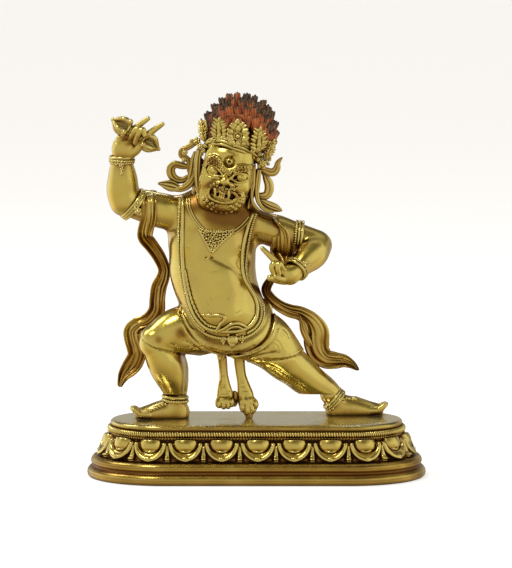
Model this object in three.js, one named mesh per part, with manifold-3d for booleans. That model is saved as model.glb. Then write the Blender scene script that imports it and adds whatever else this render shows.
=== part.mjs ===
// A gilt cast-metal figure of a wrathful guardian, striding on an oval lotus base. Millimetres, +Z up.
// +X is the beholder's right and -Y is towards the beholder, whom the figure faces.
// The origin is the middle of the base's underside.
import * as THREE from "three";
import { mergeVertices } from "three/addons/utils/BufferGeometryUtils.js";
import Module from "manifold-3d";

const wasm = await Module();
wasm.setup();

// Driving dimensions of the base. Its plan is a stadium: a straight run between two round ends.
const STRAIGHT_HALF = 58;
const BASE_HEIGHT = 35.5;
const RIM_RADIUS = 47.2;
const TOP_RADIUS = 30;
const PETAL_COUNT = 21;
const FIRST_PETAL_X = 0.9;
const PETAL_WAIST_RADIUS = 36.2;
const PETAL_MIDDLE_HEIGHT = 21.8;
const PETAL_HALF_WIDTH = 10.8;
const PETAL_HALF_HEIGHT = 8.2;
const PETAL_LEAN = 0.45;
const END_STEPS = 8;

// The figure stands on the base with a gap that touching meshes keep.
const SEAT_GAP = 0.3;
const SOLE_HEIGHT = BASE_HEIGHT + SEAT_GAP;
// The hanging paw that reaches down to the base.
const PAW_HEIGHT = SOLE_HEIGHT + 0.2;

// Head: its middle, and how it leans and turns.
const HEAD_MIDDLE = new THREE.Vector3(-19.5, -3, 184);
const HEAD_LEAN = THREE.MathUtils.degToRad(11.5);
const HEAD_TURN = THREE.MathUtils.degToRad(-3);

// Hair: a fan of upswept tufts round a middle behind the crown.
const HAIR_MIDDLE = new THREE.Vector3(-10.2, 4, 210.5);
const HAIR_CORE_RADII = [22, 12, 22.5];
const TUFT_COUNT = 14;
const TUFT_FIRST_ANGLE = 155;
const TUFT_LAST_ANGLE = -14;
const TUFT_SIDE_REACH = 23.2;
const TUFT_TOP_REACH = 28.3;

const VIEW_AXIS = new THREE.Vector3(0, 1, 0);
const GILT = { color: 0xa8842c, roughness: 0.28, metalness: 1 };

// Closed three.js geometry as a solid that can be joined.
function solidOf(geometry) {
  const bare = geometry.clone();
  bare.deleteAttribute("normal");
  bare.deleteAttribute("uv");
  const merged = mergeVertices(bare, 1e-4);
  return new wasm.Manifold(
    new wasm.Mesh({
      numProp: 3,
      vertProperties: new Float32Array(merged.attributes.position.array),
      triVerts: new Uint32Array(merged.index.array),
    }),
  );
}

function join(solids) {
  return solids.reduce((whole, piece) => whole.add(piece));
}

function meshOf(name, solid) {
  const { vertProperties, triVerts } = solid.getMesh();
  const geometry = new THREE.BufferGeometry();
  geometry.setAttribute("position", new THREE.BufferAttribute(new Float32Array(vertProperties), 3));
  geometry.setIndex(new THREE.BufferAttribute(new Uint32Array(triVerts), 1));
  geometry.computeVertexNormals();
  const mesh = new THREE.Mesh(geometry, new THREE.MeshStandardMaterial(GILT));
  mesh.name = name;
  return mesh;
}

// Rings of points joined into one closed skin, with a pole at each end.
function skin(rings, firstPole, lastPole) {
  const around = rings[0].length;
  const points = [...rings.flat(), firstPole, lastPole];
  const first = points.length - 2;
  const last = points.length - 1;
  const faces = [];
  for (let i = 0; i + 1 < rings.length; i++) {
    for (let j = 0; j < around; j++) {
      const next = (j + 1) % around;
      const [a, b] = [i * around + j, i * around + next];
      const [c, d] = [b + around, a + around];
      faces.push(a, b, c, a, c, d);
    }
  }
  const top = (rings.length - 1) * around;
  for (let j = 0; j < around; j++) {
    const next = (j + 1) % around;
    faces.push(first, next, j, last, top + j, top + next);
  }
  return new THREE.BufferGeometry().setFromPoints(points).setIndex(faces);
}

// Cross-sections, as shares of the width and depth radii at an angle round the limb.
const oval = (angle) => [Math.cos(angle), Math.sin(angle)];
// A cloth band: flat, with folds that run along it.
const FOLD_WAVES = 2.5;
const FOLD_SHARE = 0.75;
function folded(angle) {
  const across = Math.cos(angle);
  const wave = FOLD_SHARE * Math.cos(across * FOLD_WAVES * Math.PI);
  return [across, Math.sign(Math.sin(angle)) * Math.sqrt(Math.abs(Math.sin(angle))) * 0.8 + wave];
}

// How far a limb's end stands out past its last ring, as a share of its smaller radius.
const END_DOME = 0.5;

// A tube with domed ends through stations [x, y, z, width radius, depth radius].
// The width lies across the tube in the picture plane and the depth along the view.
function limb(stations, { around = 7, section = oval } = {}) {
  const path = new THREE.CatmullRomCurve3(stations.map(([x, y, z]) => new THREE.Vector3(x, y, z)));
  const sizes = new THREE.CatmullRomCurve3(stations.map(([, , , w, d]) => new THREE.Vector3(w, d, 0)));
  const spans = stations.length - 1;
  const ringAt = (t, shift) => {
    const along = path.getTangent(t);
    const across = new THREE.Vector3().crossVectors(along, VIEW_AXIS).normalize();
    const forward = new THREE.Vector3().crossVectors(along, across);
    const size = sizes.getPoint(t);
    const middle = path.getPoint(t).addScaledVector(along, shift * Math.min(size.x, size.y));
    const ring = [];
    for (let j = 0; j < around; j++) {
      const [w, d] = section(((j + 0.5) / around) * 2 * Math.PI);
      ring.push(
        middle
          .clone()
          .addScaledVector(across, w * size.x)
          .addScaledVector(forward, d * size.y),
      );
    }
    return { ring, middle };
  };
  const rings = [];
  for (let i = 0; i <= spans; i++) rings.push(ringAt(i / spans, 0).ring);
  return solidOf(skin(rings, ringAt(0, -END_DOME).middle, ringAt(1, END_DOME).middle));
}

// An egg shape: middle, radii, and turns about X, Y and Z.
function egg([x, y, z], [rx, ry, rz], { across = 6, rows = 4, turn = [0, 0, 0] } = {}) {
  const geometry = new THREE.SphereGeometry(1, across, rows);
  geometry.rotateX(Math.PI / 2).scale(rx, ry, rz);
  geometry.applyQuaternion(new THREE.Quaternion().setFromEuler(new THREE.Euler(...turn)));
  return solidOf(geometry.translate(x, y, z));
}

// A bangle round a limb that runs along a direction.
function bangle([x, y, z], direction, width, depth, tube) {
  const geometry = new THREE.TorusGeometry(1, tube / width, 4, 8);
  geometry.scale(width, depth, width);
  const along = new THREE.Vector3(...direction).normalize();
  const across = new THREE.Vector3().crossVectors(along, VIEW_AXIS).normalize();
  const forward = new THREE.Vector3().crossVectors(along, across);
  geometry.applyMatrix4(new THREE.Matrix4().makeBasis(across, forward, along));
  return solidOf(geometry.translate(x, y, z));
}

// Plan of the base at a radius: a stadium, anticlockwise from above.
function stadium(radius, height) {
  const ring = [];
  for (const side of [1, -1]) {
    for (let i = 0; i <= END_STEPS; i++) {
      const angle = (i / END_STEPS - 0.5) * Math.PI;
      ring.push(
        new THREE.Vector3(
          side * (STRAIGHT_HALF + radius * Math.cos(angle)),
          side * radius * Math.sin(angle),
          height,
        ),
      );
    }
  }
  return ring;
}

// A point on a stadium at a share of its length, with the direction that faces out there.
function stadiumAt(radius, share) {
  const straight = 2 * STRAIGHT_HALF;
  const end = Math.PI * radius;
  let run = (share % 1) * 2 * (straight + end);
  const side = run < straight + end ? -1 : 1;
  if (side === 1) run -= straight + end;
  if (run < straight) {
    return { at: [-side * (run - STRAIGHT_HALF), side * radius], out: [0, side] };
  }
  const angle = (run - straight) / radius - Math.PI / 2;
  const out = [-side * Math.cos(angle), -side * Math.sin(angle)];
  return { at: [-side * STRAIGHT_HALF + radius * out[0], radius * out[1]], out };
}

// Mouldings of the base, as [radius, height] from the underside up.
const BASE_PROFILE = [
  [RIM_RADIUS - 1.2, 0],
  [RIM_RADIUS, 2.4],
  [RIM_RADIUS - 0.4, 5],
  [RIM_RADIUS - 2, 6.6],
  [RIM_RADIUS - 3, 8.8],
  [RIM_RADIUS - 2.6, 11],
  [RIM_RADIUS - 4, 13],
  [RIM_RADIUS - 8, 13.8],
  [35, 21],
  [32.2, 28.2],
  [33.4, 29.8],
  [32, 32],
  [32.3, 34],
  [TOP_RADIUS, BASE_HEIGHT],
];

// A lotus petal as a low relief: rings of [share of its size, how far it stands out, rise of the boss].
const PETAL_RELIEF = [
  [1, -1, 0],
  [0.86, 2.2, 0],
  [0.5, 2.6, 1],
];
const PETAL_BACK = -3;
const PETAL_CROWN = 5;
const PETAL_SIDES = 8;

function petal(share) {
  const { at, out } = stadiumAt(PETAL_WAIST_RADIUS, share);
  const outward = new THREE.Vector3(...out, 0);
  const along = new THREE.Vector3(-out[1], out[0], 0);
  const lean = new THREE.Vector3(-out[0] * PETAL_LEAN, -out[1] * PETAL_LEAN, 1);
  const place = (x, y, z) =>
    new THREE.Vector3(...at, PETAL_MIDDLE_HEIGHT)
      .addScaledVector(along, x)
      .addScaledVector(outward, y)
      .addScaledVector(lean, z);
  const rings = PETAL_RELIEF.map(([size, stand, rise]) => {
    const ring = [];
    for (let i = 0; i < PETAL_SIDES; i++) {
      const angle = ((i + 0.5) / PETAL_SIDES) * 2 * Math.PI;
      const x = size * PETAL_HALF_WIDTH * Math.cos(angle);
      ring.push(place(x, stand, size * PETAL_HALF_HEIGHT * Math.sin(angle) + rise));
    }
    return ring;
  });
  return solidOf(skin(rings, place(0, PETAL_BACK, 0), place(0, PETAL_CROWN, PETAL_RELIEF.at(-1)[2])));
}

function lotusBase() {
  const rings = BASE_PROFILE.map(([radius, height]) => stadium(radius, height));
  const body = solidOf(
    skin(rings, new THREE.Vector3(0, 0, 0), new THREE.Vector3(0, 0, BASE_HEIGHT)),
  );
  const around = 2 * (2 * STRAIGHT_HALF + Math.PI * PETAL_WAIST_RADIUS);
  // The first petal is near the middle of the front.
  const firstShare = (STRAIGHT_HALF + FIRST_PETAL_X) / around;
  const petals = [];
  for (let i = 0; i < PETAL_COUNT; i++) petals.push(petal(firstShare + i / PETAL_COUNT));
  return join([body, ...petals]);
}

// Trunk from the neck to the crotch: [x, y, z, half width, half depth].
const TRUNK = [
  [-21, 3, 167, 15, 9],
  [-24, 4, 161, 23, 13],
  [-27.3, 4, 151, 26.6, 16],
  [-27.3, 4, 140, 26.8, 17.5],
  [-27.3, 3, 128, 26.6, 18],
  [-25.2, 2, 117, 25, 19.5],
  [-21.8, 0, 108, 25, 21.5],
  [-18.3, 1, 98, 25.4, 22],
  [-15, 4, 88, 24, 20],
  [-13.5, 5, 80, 17, 15],
];

// Where the trunk's front surface is, at a place in the picture plane.
function trunkFront(x, z) {
  let i = TRUNK.findIndex((station) => station[2] <= z);
  i = Math.min(Math.max(i, 1), TRUNK.length - 1);
  const [upper, lower] = [TRUNK[i - 1], TRUNK[i]];
  const share = THREE.MathUtils.clamp((upper[2] - z) / (upper[2] - lower[2]), 0, 1);
  const [middle, y, , width, depth] = upper.map((value, k) => value + share * (lower[k] - value));
  const off = Math.min(Math.abs(x - middle) / width, 0.95);
  return y - depth * Math.sqrt(1 - off * off);
}

// A cord laid on the trunk's front through [x, z] points.
function onTrunk(points, radius, lift) {
  return limb(
    points.map(([x, z]) => [x, trunkFront(x, z) - lift, z, radius, radius]),
    { around: 4 },
  );
}

// The rolled edge of the skirt round the hips, as [x, y, z].
const ROLL_RADIUS = 5.2;
const HIP_ROLL = [
  [-34, 19, 105],
  [-43, 8, 103],
  [-44, -3, 97.5],
  [-38.5, -11, 89.5],
  [-28.8, -14, 83.5],
  [-13.3, -15, 82],
  [-0.5, -11, 87],
  [5.8, -2, 96],
  [4.6, 8, 105],
  [-6, 18, 107],
  [-20, 21, 107],
];

// The snake garland on the front, as [x, z], from one shoulder down to the lap and up again.
const GARLAND_RADIUS = 1.8;
const GARLAND = [
  [-46, 168], [-46.8, 152], [-46.5, 134], [-44.2, 120], [-41, 106], [-35, 96], [-27, 91], [-17, 90],
  [-6, 92], [-0.5, 100], [0.5, 106], [-4, 117], [-9, 129], [-8.6, 141], [-5, 153], [-2, 161],
];
const PECTORAL = [-27, 149.5];
const PECTORAL_RADII = [9, 1.6, 7];
const BELT_MASK = [-15.2, -20, 84];
const BELT_MASK_RADII = [4, 3, 4.2];
const NECK = [
  [-22, 4, 158, 11, 10],
  [-20.5, 0, 170, 10, 10],
];

function trunk() {
  const [pectoralX, pectoralZ] = PECTORAL;
  const pectoralY = trunkFront(pectoralX, pectoralZ);
  return [
    limb(TRUNK, { around: 10 }),
    limb(HIP_ROLL.map((at) => [...at, ROLL_RADIUS, ROLL_RADIUS]), { around: 6 }),
    onTrunk(GARLAND, GARLAND_RADIUS, 0.4),
    egg([pectoralX, pectoralY, pectoralZ], PECTORAL_RADII, { turn: [-0.15, 0.2, 0] }),
    egg(BELT_MASK, BELT_MASK_RADII),
    limb(NECK),
  ];
}

// A point given in the head's own frame: right, back and up from its middle.
const headTurn = new THREE.Quaternion()
  .setFromAxisAngle(VIEW_AXIS, HEAD_LEAN)
  .multiply(new THREE.Quaternion().setFromAxisAngle(new THREE.Vector3(0, 0, 1), HEAD_TURN));
function onHead(x, y, z) {
  return new THREE.Vector3(x, y, z).applyQuaternion(headTurn).add(HEAD_MIDDLE).toArray();
}

// The crown: its band round the head, and the five leaves that stand on it.
const CROWN_HEIGHT = 22;
const CROWN_RADIUS = 17;
const CROWN_BAND_SHARE = 0.12;
const CROWN_BAND_HEIGHT = 22;
const LEAF_HEIGHT = 31;
const LEAF_RING = 18.2;
const LEAF_RADII = [5.2, 2.4, 9.4];
const LEAF_ANGLES = [-78, -38, 0, 38, 78];
// Features that stand out of the face, in the head's own frame. Paired ones are on both sides.
const FEATURES = [
  { name: "nose", at: [0, -18.6, 2.5], radii: [3.6, 3.4, 4] },
  { name: "mouth", at: [0, -15.8, -7.5], radii: [8, 3.2, 3.4] },
  { name: "third eye", at: [0, -14.6, 14], radii: [2.6, 2, 2.8] },
  { name: "eye", at: [8.6, -14.5, 6.5], radii: [4, 3, 2.6], paired: true },
  { name: "brow", at: [8, -14.2, 10.5], radii: [5.4, 2.8, 1.9], paired: true },
  { name: "cheek", at: [9, -12.5, -1], radii: [5, 4, 4.5], paired: true },
  { name: "ear", at: [17.3, 1, 0], radii: [2.2, 3.5, 10], paired: true },
];
// From the chin to the top of the skull: [back, up, half width, half depth].
const SKULL = [
  [-6, -15.4, 8, 7],
  [-3.4, -11.4, 13.8, 13.2],
  [-1, -6, 16.4, 16.6],
  [0, 2, 17.2, 17.8],
  [0, 11, 16.8, 17.2],
  [1, 22, 15.5, 16],
  [3, 30, 9, 9],
];

function head() {
  const turn = new THREE.Euler().setFromQuaternion(headTurn).toArray().slice(0, 3);
  const pieces = [
    limb(SKULL.map(([y, z, width, depth]) => [...onHead(0, y, z), width, depth]), { around: 10 }),
    solidOf(
      new THREE.TorusGeometry(1, CROWN_BAND_SHARE, 4, 12)
        .scale(CROWN_RADIUS, CROWN_RADIUS, CROWN_BAND_HEIGHT)
        .applyQuaternion(headTurn)
        .translate(...onHead(0, 1, CROWN_HEIGHT)),
    ),
  ];
  for (const { at, radii, paired } of FEATURES) {
    const [x, y, z] = at;
    pieces.push(egg(onHead(x, y, z), radii, { turn }));
    if (paired) pieces.push(egg(onHead(-x, y, z), radii, { turn }));
  }
  for (const degrees of LEAF_ANGLES) {
    const angle = THREE.MathUtils.degToRad(degrees);
    const spot = onHead(LEAF_RING * Math.sin(angle), 1.5 - LEAF_RING * Math.cos(angle), LEAF_HEIGHT);
    const facing = new THREE.Quaternion().setFromAxisAngle(new THREE.Vector3(0, 0, 1), angle);
    const leafTurn = new THREE.Euler().setFromQuaternion(headTurn.clone().multiply(facing));
    pieces.push(egg(spot, LEAF_RADII, { turn: leafTurn.toArray().slice(0, 3) }));
  }
  return pieces;
}

// Along a tuft: [share of its reach, half width, half depth].
const TUFT = [
  [0.62, 5, 5.5],
  [0.97, 1.3, 1.3],
];

function hair() {
  const pieces = [egg(HAIR_MIDDLE.toArray(), HAIR_CORE_RADII, { across: 10, rows: 6 })];
  for (let i = 0; i < TUFT_COUNT; i++) {
    const degrees = THREE.MathUtils.lerp(TUFT_FIRST_ANGLE, TUFT_LAST_ANGLE, i / (TUFT_COUNT - 1));
    const angle = THREE.MathUtils.degToRad(degrees);
    const rise = Math.max(0, Math.sin(angle));
    const reach = THREE.MathUtils.lerp(TUFT_SIDE_REACH, TUFT_TOP_REACH, rise);
    const tuft = TUFT.map(([share, width, depth]) => {
      const out = new THREE.Vector3(Math.cos(angle), 0, Math.sin(angle)).multiplyScalar(reach * share);
      return [...out.add(HAIR_MIDDLE).toArray(), width, depth];
    });
    pieces.push(limb(tuft, { around: 5 }));
  }
  return pieces;
}

// Ribbons and hair strands beside the face, as [x, y, z]. Each starts inside the head.
const STRAND_RADIUS = 2;
const STRAND_END_RADIUS = 1;
const STRANDS = [
  // Beholder's right: the curl, the loop and the strand from the ear.
  [[2, 0, 193], [8.5, -1, 189.3], [12.8, -1, 190.5], [15.2, -1, 197.4]],
  [[3.5, 0, 190], [9.5, 0, 185], [10.5, 0, 179.6], [7.5, 0, 174.6], [10.5, -2, 170], [15, -3, 166.2]],
  [[0.5, -6, 190], [0, -6, 179], [2.2, -6, 170.5], [8, -5, 166.2], [14.2, -3, 166]],
  // Beholder's left: the knotted ribbon with its loop, and the leaf-ended strand.
  [
    [-31, 0, 209], [-40, -1, 208], [-45, 0, 203], [-44, 0, 197],
    [-49, 0, 193.8], [-53.8, 0, 189.5], [-51, 0, 184.6], [-44, -1, 184.4],
  ],
  [[-33, -4, 191], [-40.5, -5, 181.5], [-47, -4, 178.6], [-54, -3, 180], [-59.3, -2, 182.5]],
];

function headRibbons() {
  return STRANDS.map((points) => {
    const stations = points.map((at, i) => {
      const radius = i === points.length - 1 ? STRAND_END_RADIUS : STRAND_RADIUS;
      return [...at, radius, radius];
    });
    return limb(stations, { around: 5 });
  });
}

// Limbs as stations [x, y, z, half width, half depth]. The upper arms have cloth wrapped round them.
const RAISED_UPPER_ARM = [
  [-38, 4, 163, 12.5, 12],
  [-50, 3, 163.9, 10.8, 10.5],
  [-58, 1, 165.2, 12, 11.4],
  [-68, 0, 168, 11.2, 10.8],
  [-74, -1, 169.5, 9.2, 9],
  [-80, -3, 171.4, 8, 8.5],
];
const RAISED_FOREARM = [
  [-82, -3, 171.5, 9, 8.8],
  [-82.8, -3, 178.5, 10, 9.5],
  [-82.8, -4, 185.2, 9.3, 9],
  [-83.1, -5, 191.7, 7.8, 7.7],
  [-83.1, -5, 197, 6.2, 6.2],
  [-83, -6, 202, 6, 5.4],
  [-81.5, -7, 206.7, 7.3, 5.2],
  [-78.4, -9, 210.5, 7, 5.4],
];
// The thumb and the two raised fingers of the hand that holds the sceptre.
const RAISED_FINGERS = [
  [[-78, -10, 203, 2, 2], [-72.5, -11, 207.5, 2, 2], [-71.5, -12, 212, 1.7, 1.7]],
  [[-79, -9, 214, 2.2, 2.2], [-75.5, -10, 217, 1.7, 1.7], [-66.8, -11, 223.8, 1.3, 1.3]],
  [[-71, -12, 210, 2, 2], [-66.5, -13, 213.5, 1.7, 1.7], [-59, -14, 220.2, 1.3, 1.3]],
];
const CURLED_FINGERS = [-73.5, -12, 214.2];
const CURLED_FINGERS_RADII = [4.4, 3.6, 4.4];

const LOWERED_UPPER_ARM = [
  [-8, 4, 157, 12, 12.5],
  [5, 4, 154, 10, 10.5],
  [12.5, 4, 152, 11.2, 11],
  [21.5, 4, 149, 10.6, 10.4],
  [27, 3.5, 148, 8.8, 9],
  [36.5, 2, 145, 8.5, 8.5],
];
const LOWERED_FOREARM = [
  [38.2, 3, 143.6, 8.6, 8.6],
  [34.4, -4, 139, 9.3, 8.8],
  [29.5, -10, 134.8, 7.4, 7.4],
  [25.1, -16, 130.6, 5.9, 5.9],
  [20.8, -19, 128, 5.8, 4.8],
  [15.8, -21, 128.1, 5.5, 4.6],
  [11.8, -22, 131, 4.4, 4],
];
// The raised forefinger, and the other fingers curled to the thumb.
const LOWERED_FINGERS = [
  [[13.2, -22, 134, 2, 2], [9, -22, 139, 1.7, 1.7], [3.8, -22, 144.6, 1.3, 1.3]],
  [[9.4, -22, 135.5, 2, 2], [9.8, -24, 130, 2, 2], [12.5, -23, 126.5, 1.8, 1.8]],
];

const BENT_THIGH = [
  [-17, 4, 88, 12.8, 15],
  [-31.9, 1, 89.6, 14, 14],
  [-42.5, -2, 91.6, 14.2, 13.2],
  [-52, -4, 90.2, 12.8, 12.4],
  [-60, -6, 86.2, 11, 11],
  [-65.2, -7, 84, 8.4, 9],
];
const BENT_SHIN = [
  [-62.4, -7, 81.5, 8.8, 10],
  [-57.3, -5, 73.2, 11.4, 12],
  [-54.2, -3, 66.3, 11.4, 11.5],
  [-52.1, -1, 59.8, 9.7, 10],
  [-50.8, 1, 53.3, 7.5, 8],
  [-50.2, 2, 46.9, 6.6, 7],
  [-48.9, 3, 42, 6, 6.3],
];
const BENT_FOOT = [
  [-47, 3, SOLE_HEIGHT + 5.2, 5.2, 5.4],
  [-53, 2.4, SOLE_HEIGHT + 5.7, 5.7, 6.5],
  [-59.6, 1.6, SOLE_HEIGHT + 5.6, 5.6, 7],
  [-66, 0.8, SOLE_HEIGHT + 4.4, 4.3, 7.2],
  [-71, 0.4, SOLE_HEIGHT + 3.6, 3.4, 6.9],
];
const STRETCHED_LEG = [
  [-6, 5, 90, 15, 14.5],
  [4, 6, 84.5, 17, 14.5],
  [11.5, 7, 77.8, 15.1, 14],
  [18.6, 8, 69.9, 12.9, 13],
  [26.4, 10, 63.7, 11.2, 12],
  [33.8, 12, 57.2, 10.2, 10.5],
  [42.2, 14, 51.9, 8.4, 8.5],
  [48, 15, 47.3, 6.4, 7],
  [51, 15.5, 42.6, 5.8, 6.3],
];
const STRETCHED_FOOT = [
  [49, 15.5, SOLE_HEIGHT + 5.6, 5.6, 5.6],
  [54.6, 16, SOLE_HEIGHT + 6.2, 6.2, 6.6],
  [60, 16.3, SOLE_HEIGHT + 5.8, 5.8, 6.9],
  [65, 16.6, SOLE_HEIGHT + 5, 5, 7.1],
  [70, 17, SOLE_HEIGHT + 4.3, 4.2, 7.2],
  [74.6, 17.3, SOLE_HEIGHT + 3.6, 3.4, 6.9],
];

// The hem of the skirt across the lap, and the two legs of the animal skin that hang below it.
const LAP_HEM = [
  [-46, -2, 84, 7, 12],
  [-30, 0, 83, 8, 14],
  [-13, 3, 81, 8.5, 14],
  [4, 5, 77, 9, 13],
];
const SKIN_LEGS = [
  {
    stations: [
      [-21.6, 3, 77, 3.1, 2.9],
      [-20.8, 5, 70.4, 3, 2.8],
      [-20.4, 5, 62.8, 3.1, 2.8],
      [-20, 4.5, 57, 3.7, 3],
      [-19.8, 4, 52, 4.6, 3.2],
      [-19.5, 3.2, 46.6, 5.6, 3.6],
    ],
    paw: [-19.5, 1.6, 44],
  },
  {
    stations: [
      [-11.2, 3, 77, 3.4, 2.9],
      [-10.6, 5, 70.4, 3.5, 2.8],
      [-9.7, 5, 62.8, 3.4, 2.8],
      [-8.6, 4.5, 57, 3.9, 3],
      [-7.6, 4, 52, 4.6, 3.2],
      [-5.8, 3, 46, 5.8, 3.8],
    ],
    paw: [-5, 1.8, 42.4],
  },
];
const PAW_TOE_COUNT = 4;
const PAW_TOE_PITCH = 2.7;
const PAW_TOE_RADII = [1.9, 3, 3.2];
const CLAW_RADII = [2, 2, 3.2];
// The claw reaches down to the base.
const CLAW = [-5, 3, PAW_HEIGHT + CLAW_RADII[2]];
// The web of skin between the two paws.
const PAW_WEB = [-13, 4, 47];
const PAW_WEB_RADII = [4, 2, 5.5];

// The two ends of the long scarf, which fall from the arms and float behind the legs.
const SCARF_THICKNESS = 1.6;
const LEFT_SCARF = [
  [-66, -2, 174, 5],
  [-67.5, -8, 163, 5],
  [-68.8, -4, 151, 4.8],
  [-65.2, 3, 143.5, 4.4],
  [-59.8, 8, 134.5, 4],
  [-57.4, 10, 126, 3.8],
  [-60.6, 12, 117, 4.8],
  [-61.6, 12, 109, 4.8],
  [-62.2, 12, 101.5, 5.2],
  [-66, 12, 95.8, 5.2],
  [-73, 12, 92.4, 5.2],
  [-77.2, 12, 87.4, 5.6],
  [-76.2, 11, 81, 5.4],
  [-74.6, 10, 74.4, 5.6],
  [-77, 9, 68, 5.8],
  [-82, 7, 62, 4.2],
  [-85, 6, 55.4, 1.8],
];
const RIGHT_SCARF = [
  [8, -14, 125, 3],
  [6.2, 2, 117, 3],
  [9.5, 12, 108.6, 3.4],
  [18.9, 15, 101.8, 3.6],
  [27, 16, 99.4, 4],
  [33.8, 16, 95, 5.6],
  [37.6, 16, 87.5, 7.8],
  [37.2, 16, 79.5, 8],
  [40.6, 16, 72.4, 6.4],
  [46.8, 15, 69.6, 5.2],
  [53.6, 14, 69.8, 4.2],
  [59.2, 13, 68, 2.6],
  [63, 12, 65, 0.9],
];
// Behind the back the scarf joins the two arms.
const BACK_SCARF = [
  [-62, 9, 165, 4],
  [-48, 17, 152, 5],
  [-28, 22, 142, 6],
  [-6, 19, 142, 5],
  [14, 12, 150, 4],
];

// Bangles as [middle, the way the limb runs, half width, half depth, thickness radius].
const BANGLES = [
  [[-76.5, -2, 170], [-0.75, -0.1, 0.6], 11, 10.6, 1.4],
  [[-83.1, -5, 197.6], [0, 0, 1], 7, 7, 1.3],
  [[27, 3.6, 148.2], [1, -0.05, -0.15], 10, 10, 1.3],
  [[26.6, -13.5, 132], [-0.5, -0.65, -0.5], 7, 7, 1.2],
  [[-50.2, 2.2, 47], [0.05, 0, 1], 7.9, 8.2, 1.7],
  [[48.4, 15, 47], [0.72, 0.1, -0.6], 8.2, 8.2, 1.4],
];

// The sceptre held across the palm: a rod with a cage of prongs at each end.
const SCEPTRE_MIDDLE = new THREE.Vector3(-74.6, -10, 214.2);
const SCEPTRE_SLOPE = THREE.MathUtils.degToRad(35);
const SCEPTRE_ROD_HALF = 6;
const SCEPTRE_ROD_RADIUS = 1.8;
const PRONG_COUNT = 3;
const PRONG_RADIUS = 1.1;
// Along a prong: [distance from the middle of the sceptre, distance from its axis].
const PRONG = [
  [4.5, 1.2],
  [9.5, 5.6],
  [15.2, 0.9],
];

function sceptre() {
  const along = new THREE.Vector3(Math.cos(SCEPTRE_SLOPE), 0, -Math.sin(SCEPTRE_SLOPE));
  const across = new THREE.Vector3().crossVectors(along, VIEW_AXIS);
  const station = (run, off, angle, radius) => {
    const at = SCEPTRE_MIDDLE.clone()
      .addScaledVector(along, run)
      .addScaledVector(across, off * Math.cos(angle))
      .addScaledVector(VIEW_AXIS, off * Math.sin(angle));
    return [...at.toArray(), radius, radius];
  };
  const rodEnds = [-SCEPTRE_ROD_HALF, SCEPTRE_ROD_HALF];
  const pieces = [
    limb(rodEnds.map((run) => station(run, 0, 0, SCEPTRE_ROD_RADIUS)), { around: 5 }),
  ];
  for (const end of [-1, 1]) {
    for (let i = 0; i < PRONG_COUNT; i++) {
      const angle = (i / PRONG_COUNT + 0.25) * 2 * Math.PI;
      const prong = PRONG.map(([run, off]) => station(end * run, off, angle, PRONG_RADIUS));
      pieces.push(limb(prong, { around: 4 }));
    }
  }
  return pieces;
}

function arms() {
  const fingers = [...RAISED_FINGERS, ...LOWERED_FINGERS];
  return [
    limb(RAISED_UPPER_ARM),
    limb(RAISED_FOREARM),
    egg(CURLED_FINGERS, CURLED_FINGERS_RADII, { turn: [0, 0.6, 0] }),
    limb(LOWERED_UPPER_ARM),
    limb(LOWERED_FOREARM),
    ...fingers.map((finger) => limb(finger, { around: 4 })),
  ];
}

const TOE_COUNT = 5;
const TOE_PITCH = 2.7;
const TOE_RADIUS = 1.6;
const BIG_TOE_RADIUS = 2;
const TOE_REACH = 6.4;
const TOE_LENGTH = 9;
const TOE_RISE = 3.4;

// A foot with toes that curl up. direction is -1 when it points to the beholder's left.
function foot(stations, direction) {
  const [tipX, tipY, tipZ] = stations.at(-1);
  const pieces = [limb(stations, { around: 8 })];
  for (let i = 0; i < TOE_COUNT; i++) {
    const off = i - (TOE_COUNT - 1) / 2;
    const y = tipY + off * TOE_PITCH;
    const radius = i === 0 ? BIG_TOE_RADIUS : TOE_RADIUS;
    // The toes towards the back are set further in.
    const endX = tipX + direction * (TOE_REACH - Math.max(0, off));
    const toe = [
      [endX - direction * TOE_LENGTH, y, tipZ, radius + 0.6, radius + 0.2],
      [endX - direction * TOE_LENGTH / 2, y, tipZ + TOE_RISE / 4, radius + 0.4, radius + 0.1],
      [endX, y, tipZ + TOE_RISE, radius, radius],
    ];
    pieces.push(limb(toe, { around: 4 }));
  }
  return pieces;
}

function legs() {
  return [
    limb(BENT_THIGH),
    limb(BENT_SHIN),
    limb(STRETCHED_LEG),
    ...foot(BENT_FOOT, -1),
    ...foot(STRETCHED_FOOT, 1),
  ];
}

function animalSkin() {
  const pieces = [limb(LAP_HEM), egg(PAW_WEB, PAW_WEB_RADII), egg(CLAW, CLAW_RADII)];
  for (const { stations, paw } of SKIN_LEGS) {
    pieces.push(limb(stations, { around: 6 }));
    for (let i = 0; i < PAW_TOE_COUNT; i++) {
      const off = i - (PAW_TOE_COUNT - 1) / 2;
      const rise = Math.abs(off) * 0.8;
      pieces.push(egg([paw[0] + off * PAW_TOE_PITCH, paw[1], paw[2] + rise], PAW_TOE_RADII));
    }
  }
  return pieces;
}

function scarf() {
  const band = (points, options) => limb(points.map((point) => [...point, SCARF_THICKNESS]), options);
  const cloth = { around: 8, section: folded };
  return [band(LEFT_SCARF, cloth), band(RIGHT_SCARF, cloth), band(BACK_SCARF, { around: 6 })];
}

const statue = new THREE.Group();
statue.name = "statue";
const figure = join([
  ...trunk(),
  ...head(),
  ...hair(),
  ...headRibbons(),
  ...arms(),
  ...sceptre(),
  ...legs(),
  ...animalSkin(),
  ...scarf(),
  ...BANGLES.map((sizes) => bangle(...sizes)),
]);
statue.add(meshOf("figure", figure), meshOf("lotus_base", lotusBase()));

export default statue;
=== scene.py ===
import math

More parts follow.
